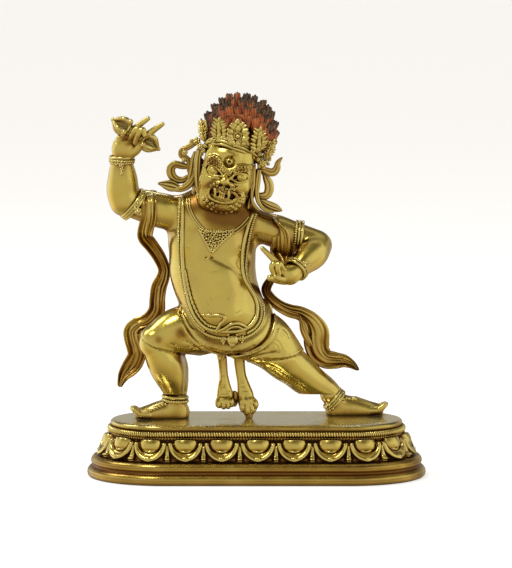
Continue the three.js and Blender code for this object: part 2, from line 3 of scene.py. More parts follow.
import bpy
import numpy as np
from mathutils import Euler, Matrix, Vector


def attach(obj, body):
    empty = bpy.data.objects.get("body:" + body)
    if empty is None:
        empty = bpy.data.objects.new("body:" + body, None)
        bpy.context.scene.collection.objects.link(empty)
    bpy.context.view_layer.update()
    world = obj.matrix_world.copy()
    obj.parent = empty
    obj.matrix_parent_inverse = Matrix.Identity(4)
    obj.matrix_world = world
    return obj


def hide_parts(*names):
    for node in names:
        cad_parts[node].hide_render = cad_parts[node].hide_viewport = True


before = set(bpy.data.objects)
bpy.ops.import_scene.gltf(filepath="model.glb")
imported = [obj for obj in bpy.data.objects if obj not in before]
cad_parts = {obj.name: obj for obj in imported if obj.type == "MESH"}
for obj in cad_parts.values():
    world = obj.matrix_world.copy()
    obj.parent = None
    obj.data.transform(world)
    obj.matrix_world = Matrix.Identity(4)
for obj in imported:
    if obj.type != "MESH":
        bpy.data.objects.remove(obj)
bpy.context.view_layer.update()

# Lengths are in millimetres until a mesh is made. +X is the beholder's right, -Y is towards the beholder.
MM = 0.001
SCENE = bpy.context.scene
RANDOM = np.random.default_rng(7)

# Camera: long lens, a little above the figure's middle.
CAMERA_DISTANCE = 5000
CAMERA_RISE = math.radians(7.5)
# How much of a height, and of a depth, the camera shows as height: the rise's cosine and sine, rounded.
SHOWN_HEIGHT, SHOWN_DEPTH = 0.9914, 0.1305
FRAME_HEIGHT = 352.16
SENSOR = 36
AIM = np.array([-0.3, 0, 119.7])

camera_data = bpy.data.cameras.new("camera")
camera = bpy.data.objects.new("camera", camera_data)
SCENE.collection.objects.link(camera)
SCENE.camera = camera
camera_data.sensor_width = SENSOR
camera_data.lens = SENSOR * CAMERA_DISTANCE / FRAME_HEIGHT
camera_data.clip_start = 0.1
camera_data.clip_end = 200
toward = np.array([0, -math.cos(CAMERA_RISE), math.sin(CAMERA_RISE)])
camera.location = (AIM + toward * CAMERA_DISTANCE) * MM
camera.rotation_euler = (math.pi / 2 - CAMERA_RISE, 0, 0)


def spline(rows, per_span):
    """Smooth samples through rows of numbers."""
    rows = np.array(rows, float)
    padded = np.vstack([2 * rows[0] - rows[1], rows, 2 * rows[-1] - rows[-2]])
    t = np.arange(per_span)[:, None] / per_span
    parts = [
        0.5 * (2 * b + (c - a) * t + (2 * a - 5 * b + 4 * c - d) * t**2 + (3 * b - a - 3 * c + d) * t**3)
        for a, b, c, d in zip(padded, padded[1:], padded[2:], padded[3:])
    ]
    return np.vstack([*parts, rows[-1:]])


def rotation(degrees):
    return np.array(Euler([math.radians(a) for a in degrees]).to_matrix())


def smoothstep(low, high, value):
    share = np.clip((value - low) / (high - low), 0, 1)
    return share * share * (3 - 2 * share)


def full_rows(stations):
    """Stations [x, y, z, half width, half depth]; a depth left out is as the width."""
    return [row if len(row) == 5 else [*row, row[3]] for row in stations]


FAR = 1e3
# Corners of a cell, and its edges as pairs of corners.
CORNERS = np.array([(i, j, k) for i in (0, 1) for j in (0, 1) for k in (0, 1)])
EDGES = [(a, b) for a in range(8) for b in range(a) if np.abs(CORNERS[a] - CORNERS[b]).sum() == 1]


class Clay:
    """A block of signed distances that shapes are blended into, and its surface as quads."""

    def __init__(self, low, high, step):
        self.low = np.array(low, float)
        self.step = step
        counts = np.ceil((np.array(high) - self.low) / step).astype(int) + 1
        self.value = np.full(counts, FAR, np.float32)
        self.axes = [(self.low[k] + step * np.arange(counts[k])).astype(np.float32) for k in range(3)]

    def window(self, low, high, margin):
        spans = []
        for k in range(3):
            first = int((low[k] - margin - self.low[k]) / self.step)
            last = int((high[k] + margin - self.low[k]) / self.step) + 2
            spans.append(slice(max(first, 0), max(min(last, len(self.axes[k])), 0)))
        return tuple(spans)

    def grids(self, spans):
        return np.ix_(*(axis[span] for axis, span in zip(self.axes, spans)))

    def merge(self, spans, field, blend, cut):
        """Blends a shape in, or cuts it away."""
        sign = -1 if cut else 1
        old = sign * self.value[spans]
        near = np.maximum(blend - np.abs(old - field), 0)
        self.value[spans] = sign * (np.minimum(old, field) - near * near / (4 * max(blend, 1e-6)))

    def egg(self, at, radii, blend=2.0, turn=(0, 0, 0), cut=False):
        """Adds an ellipsoid, or cuts it away."""
        at, radii, matrix = np.array(at, float), np.array(radii, float), rotation(turn)
        reach = np.abs(matrix) @ radii
        spans = self.window(at - reach, at + reach, blend + 2 * self.step)
        x, y, z = self.grids(spans)
        off = [x - at[0], y - at[1], z - at[2]]
        near, steep = 0, 0
        for k in range(3):
            local = off[0] * matrix[0, k] + off[1] * matrix[1, k] + off[2] * matrix[2, k]
            near = near + (local / radii[k]) ** 2
            steep = steep + (local / radii[k] ** 2) ** 2
        near = np.sqrt(near)
        field = (near * (near - 1) / np.maximum(np.sqrt(steep), 1e-6)).astype(np.float32)
        self.merge(spans, field, blend, cut)

    def tube(self, stations, blend=2.0):
        """Adds a tube through stations [x, y, z, half width, half depth], the depth along Y."""
        samples = spline(full_rows(stations), 4)
        samples[:, 3:] = np.maximum(samples[:, 3:], 0.05)
        reach = samples[:, 3:].max(1)[:, None]
        margin = blend + 2 * self.step
        whole = self.window((samples[:, :3] - reach).min(0), (samples[:, :3] + reach).max(0), margin)
        field = np.full([span.stop - span.start for span in whole], FAR, np.float32)
        if 0 in field.shape:
            return
        for a, b in zip(samples, samples[1:]):
            wide = max(a[3:].max(), b[3:].max())
            low, high = np.minimum(a[:3], b[:3]) - wide, np.maximum(a[:3], b[:3]) + wide
            spans = tuple(
                slice(max(span.start, outer.start), min(span.stop, outer.stop))
                for span, outer in zip(self.window(low, high, margin), whole)
            )
            inner = tuple(
                slice(span.start - outer.start, span.stop - outer.start) for span, outer in zip(spans, whole)
            )
            x, y, z = self.grids(spans)
            stretch = (a[3] + b[3]) / (a[4] + b[4])
            way = (b - a)[:3] * [1, stretch, 1]
            along = max((way**2).sum(), 1e-9)
            dx, dy, dz = x - a[0], (y - a[1]) * stretch, z - a[2]
            t = np.clip((dx * way[0] + dy * way[1] + dz * way[2]) / along, 0, 1)
            vx, vy, vz = dx - t * way[0], dy - t * way[1], dz - t * way[2]
            flat = vx * vx + vz * vz
            off = np.sqrt(flat + vy * vy) + 1e-6
            steep = np.sqrt(flat + (vy * stretch) ** 2) / off + 1e-6
            part = (off - a[3] - t * (b[3] - a[3])) / steep
            field[inner] = np.minimum(field[inner], part)
        self.merge(whole, field, blend, False)

    def soften(self, rounds):
        """Blurs the distances a little, so that the joints of the tubes don't show."""
        value = np.clip(self.value, -5 * self.step, 5 * self.step)
        for _ in range(rounds):
            for k in range(3):
                ahead, middle, behind = (
                    value[tuple(slice(*cut) if axis == k else slice(None) for axis in range(3))]
                    for cut in ((2, None), (1, -1), (None, -2))
                )
                mixed = (ahead + 2 * middle + behind) / 4
                value[tuple(slice(1, -1) if axis == k else slice(None) for axis in range(3))] = mixed
        self.value = value

    def trace(self, points, width, depth, behind=0.0, per_span=6):
        """Presses a groove along [x, z] points on the side in front of a plane, or raises a ridge."""
        path = spline(points, per_span)
        low, high = path.min(0), path.max(0)
        margin = 3 * width
        spans = self.window((low[0], -FAR, low[1]), (high[0], behind, high[1]), margin)
        x, z = self.axes[0][spans[0]][:, None], self.axes[2][spans[2]][None, :]
        near = np.full((x.size, z.size), FAR, np.float32)
        for a, b in zip(path, path[1:]):
            way = b - a
            t = np.clip(((x - a[0]) * way[0] + (z - a[1]) * way[1]) / max((way**2).sum(), 1e-9), 0, 1)
            near = np.minimum(near, np.hypot(x - a[0] - t * way[0], z - a[1] - t * way[1]))
        self.value[spans] += (depth * np.exp(-((near / width) ** 2)))[:, None, :].astype(np.float32)

    def surface(self):
        """Vertices and quads of the zero level: one vertex a cell, at the mean of its edge crossings."""
        inside = self.value < 0
        n = [s - 1 for s in inside.shape]
        total = np.zeros(n, np.uint8)
        for i, j, k in CORNERS:
            total += inside[i : i + n[0], j : j + n[1], k : k + n[2]]
        mixed = (total > 0) & (total < 8)
        cells = np.argwhere(mixed)
        index = np.full(n, -1, np.int32)
        index[mixed] = np.arange(len(cells), dtype=np.int32)
        values = np.stack([self.value[tuple((cells + corner).T)] for corner in CORNERS], 1)
        points, count = np.zeros((len(cells), 3)), np.zeros(len(cells))
        for a, b in EDGES:
            crossed = (values[:, a] < 0) != (values[:, b] < 0)
            va, vb = values[crossed, a], values[crossed, b]
            t = (va / (va - vb))[:, None]
            points[crossed] += CORNERS[a] + t * (CORNERS[b] - CORNERS[a])
            count[crossed] += 1
        points = (points / count[:, None] + cells) * self.step + self.low
        faces = []
        for k in range(3):
            u, v = (k + 1) % 3, (k + 2) % 3
            ahead = [slice(None)] * 3
            ahead[k] = slice(1, None)
            behind = [slice(None)] * 3
            behind[k] = slice(None, -1)
            at = np.argwhere(inside[tuple(ahead)] != inside[tuple(behind)])
            at = at[(at[:, u] > 0) & (at[:, v] > 0) & (at[:, u] < n[u]) & (at[:, v] < n[v])]
            step_u, step_v = np.eye(3, dtype=int)[u], np.eye(3, dtype=int)[v]
            corners = [at, at - step_u, at - step_u - step_v, at - step_v]
            quad = np.stack([index[tuple(c.T)] for c in corners], 1)
            outward = inside[tuple(at.T)]
            quad[~outward] = quad[~outward][:, ::-1]
            faces.append(quad)
        return points, np.vstack(faces)


def links_of(faces):
    first = np.concatenate([f.ravel() for f in faces])
    second = np.concatenate([np.roll(f, -1, axis=1).ravel() for f in faces])
    return np.concatenate([first, second]), np.concatenate([second, first])


def averaged(points, links):
    """Each point's mean of its neighbours."""
    count = np.maximum(np.bincount(links[0], minlength=len(points)), 1)
    columns = [np.bincount(links[0], points[links[1], k], len(points)) / count for k in range(3)]
    return np.stack(columns, 1)


def relaxed(points, faces, rounds):
    """Smooths without shrinking."""
    links = links_of([faces])
    for _ in range(rounds):
        for share in (0.5, -0.52):
            points = points + share * (averaged(points, links) - points)
    return points


def normals_of(points, faces):
    total = np.zeros((len(points), 3))
    for f in faces:
        normal = np.cross(points[f[:, 2]] - points[f[:, 0]], points[f[:, -1]] - points[f[:, 1]])
        for corner in f.T:
            for k in range(3):
                total[:, k] += np.bincount(corner, normal[:, k], len(points))
    return total / np.maximum(np.linalg.norm(total, axis=1), 1e-12)[:, None]


# A hollow is brought out over a few rounds of averaging, and this many millimetres are a full hollow.
HOLLOW_ROUNDS = 6
HOLLOW_DEPTH = 0.5
# Share of a piece's triangles that stays once the flattest places are thinned out.
KEPT_SHARE = 0.7


# Brown patches: middle in millimetres, reach and strength. Some are patina, as on the thigh; the rest are
# painted shade under the chin, in the armpits, beside the trunk, between the legs and on the raised hand, and
# painted shade laid over highlights and bright reflections on the shoulder, the shin and the elbow.
PATINA_AND_SHADE_PATCHES = np.array([
    (-27, -11, 164, 8, 1.0), (-18, -12, 161, 7, 0.7), (-8, -11, 162, 7, 1.0), (-4, -12, 150, 9, 0.45),
    (3, 4, 134, 9, 0.75), (2, 6, 118, 8, 0.7), (10, 2, 144, 9, 0.8), (24, 0, 140, 9, 0.7),
    (-54, 0, 154, 7, 0.6), (-6, -6, 160, 7, 0.6), (-42, -6, 165, 6, 0.4), (-20, -6, 74, 16, 0.5),
    (-50, 4, 168, 7, 0.3), (6, 0, 98, 8, 0.6), (-47, -16, 91.5, 5, 1.0), (-60.5, -16, 87, 4, 0.9),
    (-68, -12, 88, 3.6, 0.7), (-63, -6, 43, 6, 0.45), (60, 8, 46, 6, 0.45), (-48, -6, 58, 6, 0.4),
    (-27, -17, 150, 7, 0.8), (-30, -20, 106, 8, 0.35), (23, 0, 148, 4, 0.8), (10, 6, 88, 6, 0.3),
    (-40, -8, 74, 6, 0.6), (-79, -11, 212, 6, 1.0), (-68.5, -14, 209, 4, 1.3), (-84.6, -12, 219, 3.6, 1.3),
    (-83, -11, 196, 6, 0.75), (-75, -10, 168, 6, 0.8), (-39.5, -8, 171, 6, 1.0), (-56, -10, 59, 6, 0.5),
    (30.3, -17, 133, 4.5, 0.6), (-50, -4, 205, 9, 0.4), (-45, -2, 190, 13, 0.45), (-26, -18, 84, 8, 0.5),
    (-12, -18, 82, 8, 0.5), (8, 0, 157, 6, 0.8),
])


def make_piece(
    name, parts, material, node="figure", hollow=HOLLOW_DEPTH, rounds=HOLLOW_ROUNDS,
    tips=None, stain_and_shade=0.0, spots=()
):
    """A mesh object from (vertices, faces) parts, with the depth of its hollows as an attribute."""
    offset, all_points, all_faces = 0, [], []
    for points, faces in parts:
        all_points.append(points)
        all_faces.append(np.asarray(faces) + offset)
        offset += len(points)
    points = np.vstack(all_points)
    mesh = bpy.data.meshes.new(name)
    mesh.vertices.add(len(points))
    mesh.vertices.foreach_set("co", (points * MM).astype(np.float32).ravel())
    corners = np.concatenate([f.ravel() for f in all_faces]).astype(np.int32)
    sizes = np.concatenate([np.full(len(f), f.shape[1]) for f in all_faces])
    mesh.loops.add(len(corners))
    mesh.loops.foreach_set("vertex_index", corners)
    mesh.polygons.add(len(sizes))
    mesh.polygons.foreach_set("loop_start", np.concatenate([[0], np.cumsum(sizes)[:-1]]).astype(np.int32))
    mesh.update(calc_edges=True)
    mesh.validate()
    mesh.polygons.foreach_set("use_smooth", np.ones(len(mesh.polygons), bool))
    links = links_of(all_faces)
    smooth = points
    for _ in range(rounds):
        smooth = averaged(smooth, links)
    normals = normals_of(points, all_faces)
    depth = ((smooth - points) * normals).sum(1)
    attribute = mesh.attributes.new("hollow", "FLOAT", "POINT")
    attribute.data.foreach_set("value", np.clip(0.5 + 0.5 * depth / hollow, 0, 1).astype(np.float32))
    # Faces that look down are made browner: painted shade. Real brown and the patches below are added to it.
    brown = stain_and_shade + 0.35 * smoothstep(0.35, 0.95, -normals[:, 2])
    for *middle, reach, strength in [*PATINA_AND_SHADE_PATCHES, *spots]:
        brown = brown + strength * np.exp(-(((points - middle) / reach) ** 2).sum(1))
    mesh.attributes.new("stain_and_shade", "FLOAT", "POINT").data.foreach_set("value", brown.astype(np.float32))
    if tips is not None:
        mesh.attributes.new("tip", "FLOAT", "POINT").data.foreach_set("value", tips.astype(np.float32))
    mesh.materials.append(material)
    piece = bpy.data.objects.new(name, mesh)
    SCENE.collection.objects.link(piece)
    piece.modifiers.new("thinned", "DECIMATE").ratio = KEPT_SHARE
    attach(piece, "root")
    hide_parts(node)
    return piece


def outward(parts):
    """The same faces, turned to look out of the closed shape that they make together."""
    volume = 0
    for points, faces in parts:
        a, b, c = points[faces[:, 0]], points[faces[:, 1]], points[faces[:, 2]]
        volume += (a * np.cross(b, c)).sum()
        if faces.shape[1] == 4:
            volume += (a * np.cross(c, points[faces[:, 3]])).sum()
    return parts if volume > 0 else [(points, faces[:, ::-1]) for points, faces in parts]


def grid_faces(rows, columns, closed_rows=False):
    """Quads over a grid of vertices whose columns close into rings."""
    i = np.arange(rows if closed_rows else rows - 1)
    i, j = (a.ravel() for a in np.meshgrid(i, np.arange(columns), indexing="ij"))
    ni, nj = (i + 1) % rows, (j + 1) % columns
    return np.stack([i * columns + j, i * columns + nj, ni * columns + nj, ni * columns + j], 1)


def oval(angle):
    return np.cos(angle), np.sin(angle)


def loft(stations, around=12, per_span=4, section=oval, facing=(0, 1, 0), dome=0.5):
    """A closed skin through stations [x, y, z, half width, half depth]. Facing is the depth's way."""
    samples = spline(full_rows(stations), per_span)
    middle, width, depth = samples[:, :3], np.maximum(samples[:, 3], 0.02), np.maximum(samples[:, 4], 0.02)
    along = np.gradient(middle, axis=0)
    along /= np.maximum(np.linalg.norm(along, axis=1), 1e-9)[:, None]
    across = np.cross(along, np.array(facing, float))
    across /= np.maximum(np.linalg.norm(across, axis=1), 1e-6)[:, None]
    forward = np.cross(along, across)
    w, d = section((np.arange(around) + 0.5) / around * 2 * math.pi)
    rings = (
        middle[:, None]
        + across[:, None] * (np.atleast_2d(w)[..., None] * width[:, None, None])
        + forward[:, None] * (np.atleast_2d(d)[..., None] * depth[:, None, None])
    )
    small = np.minimum(width, depth) * dome
    poles = np.array([middle[0] - along[0] * small[0], middle[-1] + along[-1] * small[-1]])
    points = np.vstack([rings.reshape(-1, 3), poles])
    n, last = len(points), (len(samples) - 1) * around
    j = np.arange(around)
    first_cap = np.stack([np.full(around, n - 2), (j + 1) % around, j], 1)
    last_cap = np.stack([np.full(around, n - 1), last + j, last + (j + 1) % around], 1)
    return outward([(points, grid_faces(len(samples), around)), (points, np.vstack([first_cap, last_cap]))])


# Finishes.
class Wire:
    """A value in a shader: sums, products and ramps of such values make the nodes for them."""

    def __init__(self, socket):
        self.socket, self.tree = socket, socket.id_data

    def math(self, operation, first, second, clamp=False):
        made = node(self.tree, "ShaderNodeMath", enumerate((first, second)),
                    operation=operation, use_clamp=clamp)
        return Wire(made.outputs[0])

    def __add__(self, other):
        return self.math("ADD", self, other)

    def __sub__(self, other):
        return self.math("SUBTRACT", self, other)

    def __rsub__(self, other):
        return self.math("SUBTRACT", other, self)

    def __mul__(self, other):
        return self.math("MULTIPLY", self, other)

    def most(self, other):
        return self.math("MAXIMUM", self, other)

    def ramp(self, low, high, to_low=0.0, to_high=1.0):
        inputs = {"Value": self, "From Min": low, "From Max": high, "To Min": to_low, "To Max": to_high}
        made = node(self.tree, "ShaderNodeMapRange", inputs, interpolation_type="SMOOTHSTEP")
        return Wire(made.outputs["Result"])

    def mix(self, first, second):
        """A colour that goes from the first to the second with this value."""
        made = node(self.tree, "ShaderNodeMix", data_type="RGBA", blend_type="MIX")
        plug({s.identifier: s for s in made.inputs},
             {"Factor_Float": self, "A_Color": first, "B_Color": second})
        return Wire(next(s for s in made.outputs if s.identifier == "Result_Color"))

    def noise(self, scale, detail=3.0):
        inputs = {"Vector": self, "Scale": scale, "Detail": detail, "Roughness": 0.5}
        return Wire(node(self.tree, "ShaderNodeTexNoise", inputs).outputs["Fac"])

    def split(self):
        parts = node(self.tree, "ShaderNodeSeparateXYZ", {"Vector": self})
        return (Wire(parts.outputs[axis]) for axis in "XYZ")


def plug(sockets, inputs):
    """Links each value to its socket, or sets it there."""
    for key, value in dict(inputs).items():
        if isinstance(value, Wire):
            value.tree.links.new(value.socket, sockets[key])
        else:
            sockets[key].default_value = value


def node(tree, kind, inputs=(), **settings):
    made = tree.nodes.new(kind)
    for key, value in settings.items():
        setattr(made, key, value)
    plug(made.inputs, inputs)
    return made


def new_material(name):
    """A material, its shader's sockets and the place on the piece."""
    material = bpy.data.materials.new(name)
    material.use_nodes = True
    tree = material.node_tree
    place = Wire(node(tree, "ShaderNodeTexCoord").outputs["Object"])
    return material, tree.nodes["Principled BSDF"].inputs, place


def attribute(tree, name):
    return Wire(node(tree, "ShaderNodeAttribute", attribute_name=name).outputs["Fac"])


def occlusion(tree, distance):
    return Wire(node(tree, "ShaderNodeAmbientOcclusion", {"Distance": distance}, samples=8).outputs["AO"])


def bump(height, strength, distance):
    inputs = {"Height": height, "Strength": strength, "Distance": distance}
    return Wire(node(height.tree, "ShaderNodeBump", inputs).outputs["Normal"])


GOLD = (0.75, 0.59, 0.08, 1)
PALE_GOLD = (0.86, 0.74, 0.21, 1)
RED_GOLD = (0.50, 0.255, 0.03, 1)
PLATE_GOLD = (0.82, 0.76, 0.42, 1)
PLATE_TINT = (0.96, 0.97, 0.88, 1)
WHITE = (1, 1, 1, 1)
BROWN = (0.21, 0.088, 0.018, 1)
DIRT_AND_SHADE_COLOUR = (0.085, 0.038, 0.011, 1)
PLATE_LEVEL = 0.0355


def gilt(name, shine=0.25, plate=False):
    """Old fire gilding: a satin gold, brown dirt in the hollows, rubbed pale on the edges, and painted shade
    where the occlusion is dark: near black in tight corners, redder and browner in wider ones.
    """
    material, shader, place = new_material(name)
    tree = place.tree
    hollow, stain_and_shade = attribute(tree, "hollow"), attribute(tree, "stain_and_shade")
    shade, wide_shade = occlusion(tree, 0.005), occlusion(tree, 0.022)
    cloud, fine, speck = place.noise(45, 4.0), place.noise(260), place.noise(900, 2.0)
    # Near black: dirt in the hollows, and painted shade where the close occlusion is dark.
    darkened = hollow.ramp(0.55, 0.8).most(shade.ramp(0.7, 0.22))
    dirt_and_shade = darkened.math("MULTIPLY", darkened, cloud.ramp(0.34, 0.66, 0.8, 1.15), clamp=True)
    # Redder at random and with the brown patches, and redder where the wide occlusion is dark: painted shade
    # standing in for light thrown between the gold surfaces.
    warmth_and_shade = cloud.ramp(0.45, 0.75, 0.0, 0.3) + wide_shade.ramp(0.85, 0.35, 0.0, 0.8)
    warmth_and_shade = warmth_and_shade.math("ADD", warmth_and_shade, stain_and_shade * 0.6, clamp=True)
    # The brown breaks up at its border, and is rubbed off what stands out. Where the wide occlusion is dark,
    # more brown is added as painted shade.
    brown_and_shade = stain_and_shade + (cloud - 0.5) * 0.7 + (hollow - 0.5) + wide_shade.ramp(0.6, 0.2, 0.0, 0.5)
    brown_and_shade = brown_and_shade.ramp(0.3, 1.0, 0.0, 0.85)
    colour = brown_and_shade.mix(warmth_and_shade.mix(GOLD, RED_GOLD), BROWN)
    colour = (hollow.ramp(0.46, 0.2) * 0.6).mix(colour, PALE_GOLD)
    colour = speck.ramp(0.68, 0.76, 0.0, 0.4).mix(colour, RED_GOLD)
    colour = (dirt_and_shade * 0.93).mix(colour, DIRT_AND_SHADE_COLOUR)
    if plate:
        # The top plate is a paler, greyer gold: painted reflection, standing in for the near-neutral look of
        # its grazing reflection of the pale room.
        _, _, height = place.split()
        top = height.ramp(PLATE_LEVEL - 0.0003, PLATE_LEVEL)
        colour = top.mix(colour, PLATE_GOLD)
        plug(shader, {"Specular Tint": top.mix(WHITE, PLATE_TINT)})
    streaks = {"Vector": place, "Rotation": (0.4, 0.7, 0.5), "Scale": (1.0, 1.0, 9.0)}
    scratch = Wire(node(tree, "ShaderNodeMapping", streaks).outputs["Vector"]).noise(220, 2.0)
    plug(shader, {
        "Base Color": colour,
        "Metallic": 1.0,
        "Roughness": fine.ramp(0.3, 0.7, shine - 0.04, shine + 0.05) + dirt_and_shade * 0.25 + brown_and_shade * 0.1,
        # The bare gold shines with a clear coat of light; the brown, the dirt and the painted shade do not.
        "Coat Weight": brown_and_shade.ramp(0.0, 0.5, 1.0, 0.1) * dirt_and_shade.ramp(0.1, 0.6, 1.0, 0.1),
        "Coat IOR": 1.75,
        "Coat Roughness": 0.16,
        "Normal": bump(fine * 0.5 + scratch * 0.3 + cloud * 1.2, 0.22, 0.0001),
    })
    return material


def pigment(name):
    """Red paint over the metal, dark on the tips of the locks and in the grooves, with painted shade where
    the occlusion is dark, and gold rubbed through.
    """
    material, shader, place = new_material(name)
    tree = place.tree
    hollow, tip, shade = attribute(tree, "hollow"), attribute(tree, "tip"), occlusion(tree, 0.004)
    cloud, fine = place.noise(170, 4.0), place.noise(900)
    side, _, _ = place.split()
    red = cloud.ramp(0.35, 0.65).mix((0.34, 0.075, 0.022, 1), (0.60, 0.17, 0.042, 1))
    red = side.ramp(-0.019, -0.028, 0.0, 0.75).mix(red, (0.20, 0.062, 0.03, 1))
    dark = fine.ramp(0.4, 0.62).mix((0.03, 0.02, 0.012, 1), (0.15, 0.105, 0.06, 1))
    ends = (tip + (fine - 0.5) * 1.6).ramp(0.38, 0.68)
    # Dark tips, dirt in the grooves, and painted shade where the occlusion is dark.
    darkened = ends.most(hollow.ramp(0.58, 0.8).most(shade.ramp(0.55, 0.15)))
    bare = fine.ramp(0.62, 0.7) * hollow.ramp(0.46, 0.25) * 0.6
    plug(shader, {
        "Base Color": bare.mix((darkened * 0.93).mix(red, dark), (0.55, 0.42, 0.14, 1)),
        "Metallic": bare,
        "Roughness": fine.ramp(0.3, 0.7, 0.42, 0.62),
        "Specular IOR Level": 0.4,
        "Normal": bump(fine, 0.7, 0.0002),
    })
    return material


GILT = gilt("gilt")
GILT_BASE = gilt("gilt_base", 0.22, plate=True)

# Floor and light.
FLOOR_HALF, FLOOR_LEVEL = 50, -0.0002
floor_mesh = bpy.data.meshes.new("floor")
floor_corners = [(x * FLOOR_HALF, y * FLOOR_HALF, FLOOR_LEVEL)
                 for x, y in ((-1, -1), (1, -1), (1, 1), (-1, 1))]
floor_mesh.from_pydata(floor_corners, [], [(0, 1, 2, 3)])
floor = bpy.data.objects.new("floor", floor_mesh)
SCENE.collection.objects.link(floor)
floor_material, floor_shader, _ = new_material("floor")
plug(floor_shader, {
    "Base Color": (0.86, 0.86, 0.855, 1), "Roughness": 0.9, "Emission Color": WHITE, "Emission Strength": 0.62
})
floor_mesh.materials.append(floor_material)
floor.visible_glossy = False
LIT_POINT = Vector((-0.01, 0, 0.12))


def softbox(name, azimuth, rise, distance, size, power):
    """A lit panel that faces the figure, from an angle round it and above the floor."""
    light = bpy.data.lights.new(name, "AREA")
    light.shape = "RECTANGLE"
    light.size, light.size_y = size
    light.energy = power
    # The panel lights the figure itself, not its reflection in the plinth.
    light.cycles.max_bounces = 0
    lamp = bpy.data.objects.new(name, light)
    SCENE.collection.objects.link(lamp)
    a, e = math.radians(azimuth), math.radians(rise)
    way = Vector((math.sin(a) * math.cos(e), -math.cos(a) * math.cos(e), math.sin(e)))
    lamp.location = LIT_POINT + way * distance
    lamp.rotation_euler = (-way).to_track_quat("-Z", "Y").to_euler()


softbox("key", -42, 60, 1.1, (0.3, 0.3), 2.6)
softbox("window", -108, 45, 1.2, (0.4, 0.45), 2.2)
softbox("strip", 184, 42, 1.3, (0.5, 0.16), 1.2)
softbox("fill", 60, 22, 1.2, (0.9, 1.1), 0.7)


def studio():
    """The room: bright behind and at the sides, dimmer in front, and dark above the front."""
    world = bpy.data.worlds.new("studio")
    SCENE.world = world
    world.use_nodes = True
    tree = world.node_tree
    x, y, z = Wire(node(tree, "ShaderNodeTexCoord").outputs["Generated"]).split()
    level = y.ramp(-0.45, 0.45, 0.62, 1.08) * (1.0 - z.ramp(0.5, 0.78) * y.ramp(0.32, -0.02) * 0.75)
    level = level * z.ramp(-0.35, -0.9, 1.0, 0.55)
    level = level * (1.0 - x.ramp(0.55, 0.85, 0.0, 1.0) * y.ramp(0.1, 0.4) * 0.5)
    # Straight behind it is dim, and above and behind it is dark, so that the outlines are drawn dark.
    level = level * (1.0 - y.ramp(0.4, 0.75) * x.ramp(-0.65, -0.3) * 0.6)
    level = level * (1.0 - z.ramp(0.25, 0.5) * y.ramp(0.1, 0.4) * 0.8)
    # The dimmer parts of the room are warmer, and so is the light from below.
    room = level.ramp(0.15, 0.95).mix((1.0, 0.87, 0.70, 1), (1.0, 0.995, 0.965, 1))
    room = z.ramp(0.0, -0.5, 0.0, 0.8).mix(room, (1.0, 0.80, 0.52, 1))
    plug(tree.nodes["Background"].inputs, {"Strength": level, "Color": room})


studio()
SCENE.view_settings.view_transform = "Standard"

# Base: a stadium in plan, with a straight run between two round ends.
STRAIGHT_HALF = 58
PLAN_RADIUS = 38
PETAL_COUNT = 21
FIRST_PETAL_X = 0.9
PETAL_TOP = 28.2


def plan(share):
    """For shares of the way round from the middle of the front: the axis point and the way out."""
    run = (share % 1) * outline_length(PLAN_RADIUS)
    end = math.pi * PLAN_RADIUS
    marks = np.cumsum([STRAIGHT_HALF, end, 2 * STRAIGHT_HALF, end])
    right, left = np.clip(run - marks[0], 0, end), np.clip(run - marks[2], 0, end)
    angle = -math.pi / 2 + (right + left) / PLAN_RADIUS
    x = np.clip(run, 0, marks[0]) - np.clip(run - marks[1], 0, 2 * STRAIGHT_HALF)
    x = x + np.clip(run - marks[3], 0, STRAIGHT_HALF)
    return np.stack([x, np.zeros_like(x)], -1), np.stack([np.cos(angle), np.sin(angle)], -1)


def petal_relief(across, drop):
    """How far the lotus band stands out at a place across a petal and down from its top."""
    far = np.hypot(across / 11.2, np.maximum(drop - 3.9, 0) / 11.4)
    leaf = smoothstep(1.0, 0.94, far)
    boss = np.hypot(across / 7.5, (drop - 4.8) / np.where(drop < 4.8, 8.0, 5.3))
    # The rim is one rounded band between the boss and the edge, and starts low beside the boss.
    swell = np.clip((far - 0.66) / 0.34, 0, 1)
    ends = np.exp(-((drop - 5.4) / 2.2) ** 2)
    rim = leaf * (1.1 + 1.7 * np.sin(swell * math.pi) ** 0.8 + 0.07 * np.clip(drop, 0, 15) + 0.6 * ends)
    rim = rim * smoothstep(2.4, 4.6, drop) * smoothstep(0.98, 1.1, boss)
    dome = 0.8 * smoothstep(1.02, 0.95, boss) + 3.6 * np.clip(1 - boss**2, 0, 1) ** 0.7
    seat = -0.35 * np.exp(-(((boss - 1.06) / 0.04) ** 2))
    # The boss ends in an upturned lip, and the rim in a bud and a point.
    lip = np.exp(-((across / 3.4) ** 2)) * (
        0.8 * np.exp(-(((drop - 9.7) / 0.6) ** 2)) - 0.8 * np.exp(-(((drop - 8.6) / 0.5) ** 2))
    )
    bud = 0.8 * np.exp(-((across / 0.9) ** 2 + ((drop - 12.7) / 0.8) ** 2))
    tip = 1.0 * np.exp(-((across / 1.5) ** 2 + ((drop - 14.7) / 0.8) ** 2))
    between = 11.2 - np.abs(across)
    width = 0.45 + np.clip((drop - 4.5) / 9, 0, 1) * 1.9
    wedge = np.clip(2 - 2 * between / width, 0, 1) * smoothstep(4.5, 6.5, drop)
    foot = np.exp(-((between / 2.6) ** 2 + ((drop - 13.4) / 0.8) ** 2))
    under = -0.6 + 3.2 * wedge**0.7 + 2.0 * foot
    return np.where(far < 1.0, np.maximum(np.maximum(rim, dome) + seat + lip + bud + tip, under), under)


